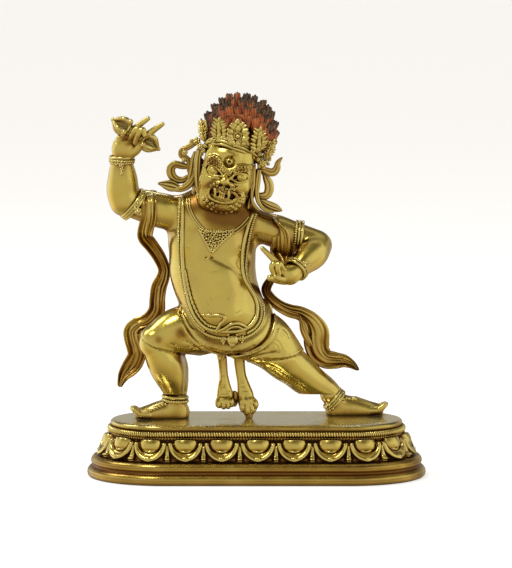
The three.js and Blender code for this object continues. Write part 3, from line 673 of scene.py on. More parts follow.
# Mouldings from the underside up, as [radius, height, samples to the next].
BASE_PROFILE = [
    (20.0, 0.0, 2), (44.5, 0.0, 2), (46.0, 0.15, 2), (46.9, 1.0, 2), (47.2, 2.4, 2), (47.0, 4.2, 3),
    (46.0, 5.7, 3), (44.8, 6.5, 2), (44.2, 6.7, 2), (43.9, 7.3, 2), (44.1, 8.3, 2), (44.6, 8.8, 2),
    (44.9, 9.6, 3), (44.6, 11.2, 3), (43.6, 12.6, 2), (42.4, 13.2, 2), (41.0, 13.4, 2), (39.0, 13.5, 2),
    (38.4, 13.9, 44), (31.6, 28.4, 2), (31.9, 29.0, 2), (32.3, 30.0, 2), (32.0, 31.6, 2), (31.9, 32.2, 2),
    (32.5, 32.5, 2), (32.7, 33.6, 2), (32.4, 34.6, 2), (31.5, 35.3, 2), (30.6, 35.5, 2), (29.4, 35.45, 1),
    (29.1, 35.5, 3), (15.0, 35.5, 2), (0.05, 35.5, 1),
]
# The stretch of the profile with this many samples carries the petals, drawn this wide and this far down.
PETAL_SAMPLES = 44
PETAL_WIDTH, PETAL_DROP = 22.4, 15.8
# Brown seats between the mouldings: height and reach.
SEATS = ((7.1, 0.5), (13.6, 0.5), (27.3, 0.8), (32.3, 0.4))


def outline_length(radius):
    return 4 * STRAIGHT_HALF + 2 * math.pi * radius


def lotus_base():
    around = 1020
    rows, petal_rows = [], []
    for (r0, z0, count), (r1, z1, _) in zip(BASE_PROFILE, BASE_PROFILE[1:]):
        on_petals = count == PETAL_SAMPLES
        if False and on_petals:
            count //= 2
        rows += [(r0 + i / count * (r1 - r0), z0 + i / count * (z1 - z0)) for i in range(count)]
        petal_rows += [on_petals] * count
    rows, petal_rows = np.array([*rows, BASE_PROFILE[-1][:2]]), np.array([*petal_rows, False])
    levels = rows[:, 1]
    share = np.arange(around) / around
    axis, out = plan(share)
    length = outline_length(PLAN_RADIUS)
    pitch = length / PETAL_COUNT
    across = (share * length - FIRST_PETAL_X + pitch / 2) % pitch - pitch / 2
    drop = (PETAL_TOP - levels) * 1.06 + 0.3
    relief = petal_relief(across[None, :] * PETAL_WIDTH / pitch, np.clip(drop, 0, PETAL_DROP)[:, None])
    band = smoothstep(27.0, 26.2, levels) * smoothstep(13.8, 14.1, levels) * petal_rows
    stand = relief * band[:, None]
    radius = rows[:, 0][:, None] + stand * 0.94
    height = levels[:, None] + stand * (0.28 - 0.3 * smoothstep(7, 15, drop))[:, None]
    flat = axis[None] + out[None] * radius[..., None]
    points = np.concatenate([flat, height[..., None]], -1).reshape(-1, 3)
    # The underside closes with a ring drawn in to the axis.
    foot = np.concatenate([axis + out * 0.05, np.zeros((around, 1))], 1)
    lower = np.vstack([foot, points[:around]])
    # Brown has stayed between the petals and along the narrow seats of the mouldings.
    depth = 0.8 * band[:, None] * smoothstep(1.4, 0.3, relief)
    seats = sum(np.exp(-(((levels - level) / reach) ** 2)) for level, reach in SEATS)
    # The mouldings are browner, more so at the band under the plate and the lower mouldings: painted dark
    # reflection of the ground in front.
    ground_reflection_brown = 0.35 * smoothstep(34.9, 34.2, levels) + 0.3 * smoothstep(31.8, 32.2, levels)
    ground_reflection_brown = ground_reflection_brown + 0.25 * smoothstep(13.4, 13.0, levels) * smoothstep(1.0, 2.0, levels)
    brown = 0.2 + depth + (0.7 * seats + ground_reflection_brown * (1 - petal_rows))[:, None] * np.ones_like(relief)
    brown = np.concatenate([brown.ravel(), np.full(len(lower), 0.3)])
    return [(points, grid_faces(len(rows), around)), (lower, grid_faces(2, around))], brown


def rope_row(radius, height, thick, pitch, slant, samples, dark):
    """A twisted cord laid round the base, and how brown it is between its strands."""
    turns = round(outline_length(radius) / pitch)
    around = turns * samples
    share = np.arange(around) / around
    axis, out = plan(share)
    sides = 8
    angle = np.arange(sides) / sides * 2 * math.pi
    phase = share[:, None] * turns * 2 * math.pi + slant * np.sin(angle)[None]
    r = thick * (0.66 + 0.5 * np.sqrt(0.5 + 0.5 * np.cos(phase)))
    ring = radius + r * np.cos(angle)[None]
    flat = axis[:, None] + out[:, None] * ring[..., None]
    z = height + r * np.sin(angle)[None]
    points = np.concatenate([flat, z[..., None]], -1).reshape(-1, 3)
    brown = dark + 0.9 * smoothstep(0.45, -0.6, np.cos(phase)) - 0.3 * smoothstep(0.5, 1.0, np.cos(phase))
    return outward([(points, grid_faces(around, sides, closed_rows=True))]), brown.ravel()


base_parts, base_brown = lotus_base()
make_piece("lotus_base", base_parts, GILT_BASE, node="lotus_base", hollow=0.5, rounds=4, stain_and_shade=base_brown)
rope, rope_brown = rope_row(32.8, 30.0, 1.75, 1.5, 0.8, 6, 0.25)
marks, marks_brown = rope_row(32.6, 27.6, 0.85, 1.8, -0.8, 6, 0.75)
rope_brown = np.concatenate([rope_brown, marks_brown])
make_piece("rope_border", rope + marks, GILT_BASE, node="lotus_base", hollow=0.6, rounds=1, stain_and_shade=rope_brown)

# A place in the photograph's 512 x 568 frame, and how it lies in the scene at a given depth.
PIXEL = 0.62
MIDDLE_U, GROUND_V = 256.5, 475.4


def seen(u, v, y=0.0):
    """The point that shows at a place of the picture, at a depth."""
    rise = ((GROUND_V - v) * PIXEL - math.sin(CAMERA_RISE) * y) / math.cos(CAMERA_RISE)
    return np.array([(u - MIDDLE_U) * PIXEL, y, rise])


def on_plane(places, y):
    """Picture places as [x, z] at a depth."""
    return [seen(u, v, y)[[0, 2]] for u, v in places]


def polygon_distance(x, z, corners):
    """Signed distance to a closed outline in the picture plane, below zero inside."""
    corners = np.array(corners, float)
    near, inside = np.full(np.broadcast(x, z).shape, FAR), np.zeros(np.broadcast(x, z).shape, bool)
    for a, b in zip(corners, np.roll(corners, -1, axis=0)):
        way = b - a
        t = np.clip(((x - a[0]) * way[0] + (z - a[1]) * way[1]) / (way**2).sum(), 0, 1)
        near = np.minimum(near, np.hypot(x - a[0] - t * way[0], z - a[1] - t * way[1]))
        crosses = (a[1] > z) != (b[1] > z)
        side = (b[0] - a[0]) * (z - a[1]) / (b[1] - a[1] + 1e-12) + a[0]
        inside ^= crosses & (x < side)
    return np.where(inside, -near, near)


# The figure's body: trunk, arms and legs, as stations [x, y, z, half width, half depth].
TRUNK = [
    [-21, 3, 167, 15, 9], [-24, 4, 161, 23, 13], [-27.3, 4, 151, 26.6, 16], [-27.3, 4, 140, 26.8, 19],
    [-27.3, 3, 128, 26.6, 20.5], [-25.2, 2, 117, 25, 21], [-21.8, 0, 108, 25, 21.5], [-18.3, 1, 98, 25.4, 22],
    [-15.5, 3, 91, 22.5, 19], [-14.5, 4, 86, 10, 9],
]
NECK = [[-22, 5, 158, 11, 9], [-20.5, 3, 168, 9.6, 8.6], [-20, 2, 178, 9.6, 8.6]]
RAISED_UPPER_ARM = [
    [-38, 4, 163, 12.5, 12], [-50, 3, 163.9, 10.8, 10.5], [-58, 1, 165.2, 11, 10.4], [-68, 0, 168, 10.2, 9.8],
    [-74, -1, 169.5, 9.2, 9], [-80, -3, 171.4, 8, 8.5],
]
RAISED_FOREARM = [
    [-82, -3, 171.5, 9, 8.8], [-82.8, -3, 178.5, 10, 9.5], [-82.8, -4, 185.2, 9.3, 9],
    [-83.1, -5, 191.7, 7.8, 7.7], [-83.1, -5, 197, 6.2, 6.2], [-83, -6, 202, 6, 5.4],
]
LOWERED_UPPER_ARM = [
    [-8, 4, 157, 12, 12.5], [5, 4, 154, 10, 10.5], [12.5, 4, 152, 10.4, 10.2], [21.5, 4, 149, 9.8, 9.6],
    [27, 3.5, 148, 8.8, 9], [36.5, 2, 145, 8.5, 8.5],
]
LOWERED_FOREARM = [
    [38.2, 2, 143.6, 8.7, 9.0], [34.6, -5.4, 139.2, 9.6, 8.9], [29.4, -11.4, 134.8, 7.8, 7.6],
    [25.1, -16, 130.6, 5.9, 5.9], [22.8, -17.5, 129.3, 5.8, 5.2],
]
BENT_THIGH = [
    [-17, 4, 88, 12.6, 15], [-31.9, 1, 90, 14, 13.8], [-42.5, -2, 92, 14.3, 13], [-52, -4, 90.3, 12.6, 12.2],
    [-60, -6, 85.6, 10, 10.8], [-65, -7, 82.4, 7.6, 8.6],
]
BENT_SHIN = [
    [-62.4, -7, 81.5, 8.2, 10], [-57.6, -5, 73.2, 10.9, 11.6], [-54.6, -3, 66.3, 10.9, 11.2],
    [-52.3, -1, 59.8, 9.4, 9.8], [-50.8, 1, 53.3, 7.5, 8], [-50.2, 2, 46.9, 6.6, 7], [-48.9, 3, 41, 5.6, 6],
]
BENT_CALF = [[-52, 2, 78, 5, 6], [-49, 4, 70, 6.2, 8], [-47.4, 4, 62, 5.4, 7.4], [-47.4, 3, 54, 4.6, 5]]
STRETCHED_LEG = [
    [-6, 5, 90, 14.5, 14.5], [4, 6, 84.5, 16.4, 14.2], [11.5, 7, 77.8, 14.6, 13.6],
    [18.6, 8, 69.9, 12.6, 12.8], [26.4, 10, 63.7, 11, 11.8], [33.8, 12, 57.2, 10, 10.3],
    [42.2, 14, 51.9, 8.3, 8.4], [48, 15, 47.3, 6.4, 7], [50.4, 15.5, 42.6, 5.6, 6],
]
STRETCHED_CALF = [[10, 12, 66.5, 5, 6], [19, 12, 62.6, 6, 8], [28.5, 13, 55.5, 6.5, 7.5],
                  [38, 14.5, 51, 4.6, 5.6]]
LAP_HEM = [[-46, -2, 84.5, 6.6, 12], [-30, 0, 83.4, 7.6, 13.6], [-13, 3, 81.4, 8.1, 13.6],
           [4, 5, 77.6, 8.6, 12.6]]
# Outline of the skirt in the picture.
SKIRT = [
    (176, 300), (190, 325), (205, 340), (225, 346), (245, 346), (262, 336), (268, 318),
    (268, 296), (284, 296), (290, 318), (300, 330), (309, 345), (306, 353), (298, 357), (285, 360),
    (270, 361.5), (250, 361.5), (236, 366), (216, 362), (186, 359), (180, 353.5), (165, 349.5), (152, 345.5),
    (143.5, 340), (139, 332), (148, 316), (165, 304),
]
SKIRT_THICKNESS = 0.75
HIP_BLEND = 2.0
# Where the hem across the lap ends: x, and how high it shows.
HEM = [(-42.4, 50), (-41.4, 72.8), (-27, 75.8), (-21, 74.6), (-15.8, 73.2), (-9, 71.6), (-6, 71), (-4, 50)]
# Creases under the breasts and lines across the belly: places of the picture, width and depth.
BODY_LINES = [
    ([(206, 257), (201, 261), (195, 265), (187, 270)], 1.2, 0.26),
    ([(212, 257), (222, 262), (232, 267), (240, 274)], 1.1, 0.5),
    ([(206, 257), (209, 256), (212, 257)], 1.0, 0.4),
    ([(207, 269.5), (211, 270), (216, 269)], 0.8, 0.15),
    ([(191, 275.5), (199, 273), (207, 272)], 0.9, 0.12),
    ([(194, 281), (203, 278), (213, 275.5)], 0.9, 0.12),
    ([(205, 282.5), (215, 281), (224, 279)], 0.9, 0.12),
    ([(183.5, 357), (185.5, 366), (185.4, 377), (184, 394)], 1.0, 0.8),
    ([(262, 364), (278, 371), (291, 380), (304, 389.5), (323, 400.5)], 0.9, 0.35),
]
# The rolled edge of the skirt round the hips, as [x, y, z], and the folds beside it.
HIP_ROLL = [
    [-34, 19, 105], [-43, 8, 103], [-44, -3, 97.5], [-38.5, -11, 89.5], [-28.8, -14, 83.5],
    [-13.3, -15, 82], [-0.5, -11, 87], [5.8, -2, 96], [4.6, 8, 105], [-6, 17.4, 107], [-17, 20.4, 107],
    [-27, 20.6, 106.4], [-34, 18.6, 105],
]
SKIRT_LINES = [
    ([(266, 297), (271, 310), (272.3, 322), (268.5, 335), (261, 343.5), (250, 350), (238, 353.5)], 0.85, 1.5),
    ([(238, 353.5), (228, 354), (215, 351), (203, 345.5), (193, 337), (186, 326), (180.5, 313)], 0.8, 1.2),
    ([(274.5, 312), (275.5, 326), (272, 338), (265, 347), (255, 352.5), (243, 356.5),
      (233, 358.5)], 0.9, -0.6),
    ([(277.5, 330), (273, 342), (265, 350), (252, 356), (240, 359)], 0.6, 0.4),
    ([(183, 323), (189, 334), (198, 343), (209, 349), (219, 353.5)], 0.8, -0.5),
    ([(180, 330), (188, 341), (199, 348), (212, 353)], 0.6, 0.35),
    ([(143.5, 340), (152, 346), (165, 350), (180, 354), (187, 359)], 0.7, 0.6),
    ([(306, 353), (298, 357), (285, 360.3), (270, 362), (250, 362)], 0.7, 0.6),
    ([(304, 351), (297, 354.6), (285, 357.4), (270, 359.2)], 0.5, -0.35),
    ([(239, 357), (255, 356), (275, 352.5)], 0.5, 0.3),
    ([(230, 351), (221, 350), (211, 346.5)], 0.6, 0.5), ([(230, 354.5), (221, 355.6), (210, 354)], 0.6, 0.5),
    ([(234, 350.6), (244, 349.4), (254, 344.5)], 0.6, 0.5), ([(235, 354), (246, 354), (260, 349)], 0.6, 0.5),
    ([(236, 362), (248, 360), (262, 356), (280, 352.6)], 0.7, 0.6),
]
# Engraved marks of the animal skin.
MARKS = [
    [(283, 331), (287, 335), (289, 340)], [(281, 333), (285, 337), (286, 341)], [(280, 337), (282, 339)],
    [(275, 341), (279, 344), (282, 350)], [(273, 344), (277, 347), (279, 351)], [(265, 350), (267, 352)],
    [(268, 349), (270, 351.5)], [(193, 345), (195, 346), (193, 348)], [(198, 344), (200, 346), (202, 345)],
    [(183, 340), (187, 341)], [(188, 346), (190, 347)], [(171, 343), (176, 345)], [(209, 346), (212, 348)],
    [(207, 300), (209, 303)], [(210, 296), (212, 298)], [(211, 305), (211, 309)], [(208, 308), (209, 310)],
    [(213, 305), (214, 309)], [(227, 296), (229, 297)], [(236, 312), (241, 309)],
]
BODY_STEP = 0.6


def relaxed_surface(clay, rounds=2):
    points, faces = clay.surface()
    return relaxed(points, faces, rounds), faces


def stations_seen(places):
    """Places (u, v, depth, half width ...) of the picture as stations in the scene."""
    return [[*seen(u, v, y), *size] for u, v, y, *size in places]


def body():
    clay = Clay((-98, -34, 30), (66, 34, 212), BODY_STEP)
    clay.tube(TRUNK, 1)
    clay.tube(NECK, 3)
    clay.egg((-24, 0.5, 165.5), (15, 8, 4.5), 4)
    clay.tube(RAISED_UPPER_ARM, 6)
    clay.tube(LOWERED_UPPER_ARM, 6)
    clay.tube(RAISED_FOREARM, 3)
    clay.tube(LOWERED_FOREARM, 1.2)
    # Breasts over a full belly.
    clay.egg((-39.5, -1, 146.5), (13, 12.6, 12.5), 6)
    clay.egg((-18.5, -1, 145.5), (14, 12.6, 12.5), 6)
    clay.egg((-22.5, -0.5, 115), (22.5, 21.9, 28), 4)
    clay.egg((-21, -2, 103), (20, 22.4, 14), 5)
    clay.soften(3)
    legs = Clay((-98, -34, 30), (66, 34, 112), BODY_STEP)
    for stations, blend in (
        (BENT_THIGH, 4), (STRETCHED_LEG, 4), (BENT_SHIN, 1.5), (BENT_CALF, 2), (STRETCHED_CALF, 2),
        (LAP_HEM, 3)
    ):
        legs.tube(stations, blend)
    # The knee that is bent, and the inside of the other thigh.
    legs.egg((-66, -7.5, 86), (5.8, 7.8, 6.6), 3)
    legs.egg((17, 4, 74), (7, 9, 6), 5, (0, 35, 0))
    legs.soften(3)
    # The skirt lies on the thighs as a layer of its own.
    x, y, z = legs.axes
    cloth = polygon_distance(x[:, None], z[None, :], on_plane(SKIRT, -8))[:, None, :].astype(np.float32)
    layer = np.maximum(legs.value - SKIRT_THICKNESS, cloth)
    lower = tuple(slice(0, size) for size in legs.value.shape)
    clay.merge(lower, np.minimum(legs.value, layer), HIP_BLEND, False)
    # The hem across the lap is nearly level.
    hem = np.interp(x, *zip(*HEM))
    level = z[None, :] * SHOWN_HEIGHT + y[:, None] * SHOWN_DEPTH
    clay.value[lower] = np.maximum(clay.value[lower], (hem[:, None, None] - level[None]).astype(np.float32))
    clay.tube([[*at, 4.9 if at[1] < 0 else 4.0] for at in HIP_ROLL], 1.6)
    for lines, depth in ((BODY_LINES, -12), (SKIRT_LINES, -13)):
        for places, width, groove in lines:
            clay.trace(on_plane(places, depth), width, groove, 2)
    for places in MARKS:
        clay.trace(on_plane(places, -12), 0.45, 0.4, 0)
    return clay, [relaxed_surface(clay)]


class Front:
    """Where a block of clay faces the beholder."""

    def __init__(self, clay):
        inside = clay.value < 0
        y = clay.axes[1]
        first = np.maximum(np.argmax(inside, axis=1), 1)
        i, k = np.indices(first.shape)
        outer, inner = clay.value[i, first - 1, k], clay.value[i, first, k]
        share = np.clip(outer / np.maximum(outer - inner, 1e-6), 0, 1)
        self.depth = np.where(inside.any(axis=1), y[first - 1] + share * (y[first] - y[first - 1]), np.nan)
        self.low, self.step = clay.low, clay.step

    def y(self, x, z):
        i = int(np.clip(round((x - self.low[0]) / self.step), 1, self.depth.shape[0] - 2))
        k = int(np.clip(round((z - self.low[2]) / self.step), 1, self.depth.shape[1] - 2))
        around = self.depth[i - 1 : i + 2, k - 1 : k + 2]
        return float(np.nanmean(around)) if np.isfinite(around).any() else 0.0

    def at(self, u, v, lift=0.0):
        """The point of the surface that shows at a place of the picture, lifted towards the beholder."""
        y = -12.0
        for _ in range(4):
            point = seen(u, v, y)
            y = self.y(point[0], point[2]) - lift
        return seen(u, v, y)

    def path(self, places, lift=0.0):
        points = np.array([self.at(u, v, lift) for u, v in spline(places, 6)])
        for _ in range(2):
            points[1:-1, 1] = (points[:-2, 1] + 2 * points[1:-1, 1] + points[2:, 1]) / 4
        return points


def frames_along(points, closed=False):
    """Directions along, across and above a path, turning as little as they can."""
    if closed:
        along = np.roll(points, -1, axis=0) - np.roll(points, 1, axis=0)
    else:
        along = np.gradient(points, axis=0)
    along /= np.maximum(np.linalg.norm(along, axis=1), 1e-9)[:, None]
    above = np.zeros_like(points)
    up = np.array([0.0, -1, 0]) if abs(along[0][1]) < 0.9 else np.array([0.0, 0, 1])
    for i, way in enumerate(along):
        up = up - way * (up @ way)
        up /= max(np.linalg.norm(up), 1e-9)
        above[i] = up
    return along, np.cross(along, above), above


def resampled(points, spacing, closed=False):
    points = np.vstack([points, points[:1]]) if closed else np.array(points)
    steps = np.linalg.norm(np.diff(points, axis=0), axis=1)
    run = np.concatenate([[0], np.cumsum(steps)])
    count = max(int(round(run[-1] / spacing)), 3)
    marks = np.linspace(0, run[-1], count, endpoint=not closed)
    return np.stack([np.interp(marks, run, points[:, k]) for k in range(3)], 1), marks, run[-1]


PLAIN, BEADED, TWISTED, PLAITED = range(4)


def cord(path, radius, kind=PLAIN, pitch=1.5, around=8, closed=False, flat=1.0, taper=None):
    """A cord along a path: plain, a string of beads, or strands that wind round each other."""
    spacing = {PLAIN: max(radius * 0.8, 0.5), BEADED: pitch / 6, TWISTED: pitch / 5, PLAITED: pitch / 6}[kind]
    points, run, length = resampled(path, spacing, closed)
    if closed:
        pitch = length / max(round(length / pitch), 1)
    along, across, above = frames_along(points, closed)
    angle = (np.arange(around) + 0.5) / around * 2 * math.pi
    phase = run[:, None] / pitch * 2 * math.pi
    size = np.full((len(points), around), float(radius))
    if kind == BEADED:
        size *= 0.52 + 0.5 * np.sqrt(np.abs(np.sin(phase / 2)))
    elif kind == TWISTED:
        size *= 0.86 + 0.2 * np.cos(2 * angle[None] - phase)
    elif kind == PLAITED:
        size *= 0.84 + 0.18 * np.cos(angle[None] * 2 - phase) + 0.1 * np.cos(angle[None] * 2 + phase)
    if taper is not None:
        size *= np.interp(run / length, *taper)[:, None]
    rings = (
        points[:, None]
        + across[:, None] * (size * np.cos(angle))[..., None]
        + above[:, None] * (size * flat * np.sin(angle))[..., None]
    )
    vertices = rings.reshape(-1, 3)
    if closed:
        return outward([(vertices, grid_faces(len(points), around, closed_rows=True))])
    n, last = len(vertices), (len(points) - 1) * around
    poles = np.array([points[0] - along[0] * size[0, 0] * 0.6, points[-1] + along[-1] * size[-1, 0] * 0.6])
    vertices = np.vstack([vertices, poles])
    j = np.arange(around)
    first_cap = np.stack([np.full(around, n), (j + 1) % around, j], 1)
    last_cap = np.stack([np.full(around, n + 1), last + j, last + (j + 1) % around], 1)
    return outward([(vertices, grid_faces(len(points), around)),
                    (vertices, np.vstack([first_cap, last_cap]))])


def bangle(middle, direction, width, depth, radius, kind=PLAIN, pitch=1.5, rounds=48):
    """A closed cord round a limb that runs along a direction."""
    way = np.array(direction, float)
    way /= np.linalg.norm(way)
    across = np.cross(way, [0, 1, 0])
    across /= np.linalg.norm(across)
    forward = np.cross(way, across)
    angle = np.arange(rounds) / rounds * 2 * math.pi
    path = (
        np.array(middle, float)
        + across * (width * np.cos(angle))[:, None]
        + forward * (depth * np.sin(angle))[:, None]
    )
    return cord(path, radius, kind, pitch, closed=True)


def ball(at, radii, turn=(0, 0, 0), segments=10, rings=7):
    """A small egg shape."""
    radii = np.array([radii] * 3 if np.isscalar(radii) else radii, float)
    polar = np.arange(1, rings) / rings * math.pi
    angle = np.arange(segments) / segments * 2 * math.pi
    ring = np.stack(
        [
            np.sin(polar)[:, None] * np.cos(angle),
            np.sin(polar)[:, None] * np.sin(angle),
            np.cos(polar)[:, None] * np.ones(segments),
        ],
        -1,
    ).reshape(-1, 3)
    unit = np.vstack([ring, [[0, 0, 1], [0, 0, -1]]])
    vertices = (unit * radii) @ rotation(turn).T + np.array(at, float)
    n, last = len(ring), (rings - 2) * segments
    j = np.arange(segments)
    caps = np.vstack(
        [
            np.stack([np.full(segments, n), j, (j + 1) % segments], 1),
            np.stack([np.full(segments, n + 1), last + (j + 1) % segments, last + j], 1),
        ]
    )
    return outward([(vertices, grid_faces(rings - 1, segments)[:, ::-1]), (vertices, caps)])


def rosette(at, radius, petals=6, facing=(0, -1, 0), heart=None):
    """A little flower of beads round a heart, turned to face a way."""
    way = np.array(facing, float)
    way /= np.linalg.norm(way)
    side = np.cross(way, [0, 0, 1])
    side /= max(np.linalg.norm(side), 1e-6)
    up = np.cross(side, way)
    bead = radius * 0.42
    parts = ball(np.array(at) + way * bead * 0.5, heart or bead)
    for i in range(petals):
        a = (i + 0.5) / petals * 2 * math.pi
        spot = np.array(at) + (side * math.cos(a) + up * math.sin(a)) * (radius - bead)
        parts += ball(spot, bead, segments=8, rings=6)
    return parts


clay_body, body_parts = body()
make_piece("body", body_parts, GILT)
front = Front(clay_body)


# Chains on the front of the body: kind, radius, lift, pitch and places of the picture.
GARLAND = [
    (PLAIN, 1.25, 0.7, 1.5, [
        (183.5, 197), (182.6, 215), (182.3, 235), (182.6, 255), (184, 275), (187, 292), (191, 307),
        (197, 319), (206, 327.5), (216, 330.5), (228, 331.5), (240, 330.5), (249, 326.5), (255.5, 318),
        (257.5, 308), (255, 298), (249.5, 288), (244.5, 278), (242.5, 268), (242.6, 255), (244.2, 242),
        (247, 231), (250, 221), (253, 213)]),
    (BEADED, 1.2, 0.5, 1.5, [
        (180.3, 199), (179.2, 215), (178.8, 235), (179.2, 255), (180.6, 272), (184, 290), (188.6, 308),
        (195, 321), (205, 330.5)]),
    (BEADED, 1.2, 0.5, 1.4, [
        (256, 214), (253.5, 222), (251, 231), (248.6, 242), (246.6, 255), (246, 268), (247.4, 279),
        (251.5, 289), (257.5, 298), (260.8, 307), (260.4, 318), (255, 327.5), (247, 333)]),
    (TWISTED, 0.9, 0.8, 3,
     [(185.2, 270), (188.6, 288), (193, 303), (199.5, 316), (208, 324.6), (217, 327.4)]),
    (TWISTED, 1.25, 0.4, 1.6, [(186, 306), (192, 319), (200, 329), (209, 335), (219, 337.8), (228, 338.4)]),
    (TWISTED, 1.25, 0.4, 1.6,
     [(236, 338.6), (246, 337), (254, 332.5), (260.5, 325), (263.5, 315), (263, 304)]),
]
SNAKE = [(216, 331), (218.6, 327.6), (221, 323.6), (224.4, 320.6), (225, 317), (220.5, 315.4), (214, 315.2)]
# Loops beside the snake, the two chains of the necklace and the beaded edges of its triangle.
NECKLACE = [
    (PLAIN, 1.1, 1.0, 1.5, [(218, 331), (224, 328.6), (230, 324.6), (237, 323), (243, 325), (248, 328)]),
    (PLAIN, 0.8, 0.8, 1.5, [(226, 330.4), (232, 327), (238, 326.6), (243, 329)]),
    *((PLAIN, 0.75, 0.3, 1.5, [(187 + off, 199), (188 + off, 208), (192 + off, 217), (197.5 + off, 224.5),
                               (201.5 + off, 229)]) for off in (0, 2.4)),
    (PLAIN, 0.75, 0.3, 1.5, [(232, 231.5), (238, 228), (244, 222.5), (248.5, 217)]),
    (PLAIN, 0.6, 0.3, 1.5, [(234, 234), (240, 230), (246, 224.5), (250, 219)]),
    (BEADED, 0.8, 0.5, 1.5,
     [(199.5, 228.5), (206, 231), (214, 232.4), (222, 232.2), (229, 230.6), (235, 230)]),
    (BEADED, 0.8, 0.4, 1.6, [(199, 229.5), (203, 237.5), (207, 245), (211, 252.5)]),
    (BEADED, 0.8, 0.4, 1.6, [(234, 232), (228, 237.4), (221, 244), (212.6, 253)]),
]
# An animal's face on the girdle: place, lift and radii of its muzzle, jaw, eyes, ears, nose and lips.
GIRDLE_FACE = [
    (232.6, 339.6, 0.6, (3.6, 2.6, 3.6)), (232.3, 344.4, 0.6, (2.0, 1.9, 2.4)),
    (229.6, 336.9, 2.2, (0.8, 0.7, 0.7)), (235, 336.9, 2.2, (0.8, 0.7, 0.7)),
    (228.2, 334.4, 0.8, (1.0, 1.0, 1.1)), (236.6, 334.4, 0.8, (1.0, 1.0, 1.1)),
    (232.3, 341.6, 2.6, (0.8, 0.8, 1.4)), (230.6, 345.4, 2.0, (0.6, 0.7, 0.6)),
    (234, 345.4, 2.0, (0.6, 0.7, 0.6)),
]
# Corners of the breast ornament, and its rows of rings and balls.
TRIANGLE = np.array([[200.0, 229], [236.0, 230.5], [211.5, 252]])
TRIANGLE_ROWS = 6
NIPPLES = [(189, 247), (240, 250)]


def circle_of(radius, count=24):
    """A ring in the picture plane."""
    angle = np.arange(count) / count * 2 * math.pi
    return np.stack([radius * np.cos(angle), 0 * angle, radius * np.sin(angle)], 1)


def chains(table):
    parts = []
    for kind, radius, lift, pitch, places in table:
        parts += cord(front.path(places, lift), radius, kind, pitch)
    return parts


def breast_ornament():
    parts = []
    left, right, low = TRIANGLE
    for i in range(TRIANGLE_ROWS):
        count = TRIANGLE_ROWS + 2 - i
        for j in range(count):
            share, down = (j + 0.5) / count, (i + 0.55) / TRIANGLE_ROWS
            spot = front.at(*((left + (right - left) * share) * (1 - down) + low * down), 0.45)
            if (i + j) % 3 == 2:
                parts += ball(spot, 0.95, segments=12, rings=8)
            else:
                parts += cord(spot + circle_of(1.0, 14) - [0, 0.2, 0], 0.46, closed=True, around=6)
    return parts


def jewellery():
    """The garland of snakes and beads, the necklace and the breast ornament."""
    parts = chains(GARLAND)
    for u, v, lift, radii in GIRDLE_FACE:
        parts += ball(front.at(u, v, lift), radii, segments=20, rings=14)
    for u in (223.6, 242):
        spot = front.at(u, 339.4 - 0.06 * (u - 223.6), 0.6)
        parts += rosette(spot, 2.3, 5)
        parts += ball(spot + [0, 0.2, -2.4], (0.9, 0.8, 1.4))
    # A snake rears from the garland: neck, head, snout and eye.
    parts += cord(front.path(SNAKE, 0.9), 1.15, taper=([0, 0.2, 0.8, 1], [0.8, 1, 1, 0.9]))
    head = front.at(211, 315.2, 1.0)
    parts += ball(head, (3.6, 1.4, 1.35), (0, 4, 0))
    parts += ball(head + [-3.4, 0, 0.1], (2.6, 0.9, 0.7), (0, 8, 0))
    parts += ball(head + [1.2, -0.9, 0.9], 0.55)
    parts += chains(NECKLACE) + breast_ornament()
    for place in NIPPLES:
        parts += ball(front.at(*place, -0.1), (0.9, 0.5, 0.9))
    return parts


make_piece("garland", jewellery(), GILT, hollow=0.35, rounds=2)


# Hands, in a finer clay.
HAND_STEP = 0.38


# Fingers of both hands as (u, v, depth, radius).
RAISED_FINGERS = [
    [(129, 138, -9, 2.4), (133, 131.5, -10.5, 2.3), (140, 125.6, -11.5, 1.95), (148.6, 119.4, -12, 1.45)],
    [(140, 143, -11, 2.2), (147, 136.5, -12, 2.2), (154.5, 130.8, -13, 1.9), (163, 125, -14, 1.4)],
    [(131, 140, -11, 1.9), (134.4, 133, -14.5, 2.0), (138.6, 129.6, -14.6, 1.9), (139, 135.5, -15, 1.6)],
    [(136, 143, -12, 1.9), (139.4, 134, -15, 1.9), (143.6, 130.6, -15, 1.8), (145.4, 136, -15.4, 1.5)],
]
LOWERED_FINGERS = [
    [(283, 272, -22, 2.4), (277, 263.5, -23, 2.1), (269.5, 255.5, -23, 1.8), (262.4, 248.6, -22.5, 1.45)],
    [(283, 269, -23, 2.1), (279.5, 264, -25.5, 1.9), (277.6, 268, -26.5, 1.7), (279, 274, -25.5, 1.5)],
    [(281, 272, -23, 2.1), (274.6, 264, -25.5, 1.9), (271.6, 267.5, -26, 1.8), (273.6, 273.6, -25.5, 1.5)],
    [(286, 279, -22, 2.2), (280, 279, -25, 2.0), (275.5, 277, -26, 1.7)],
]


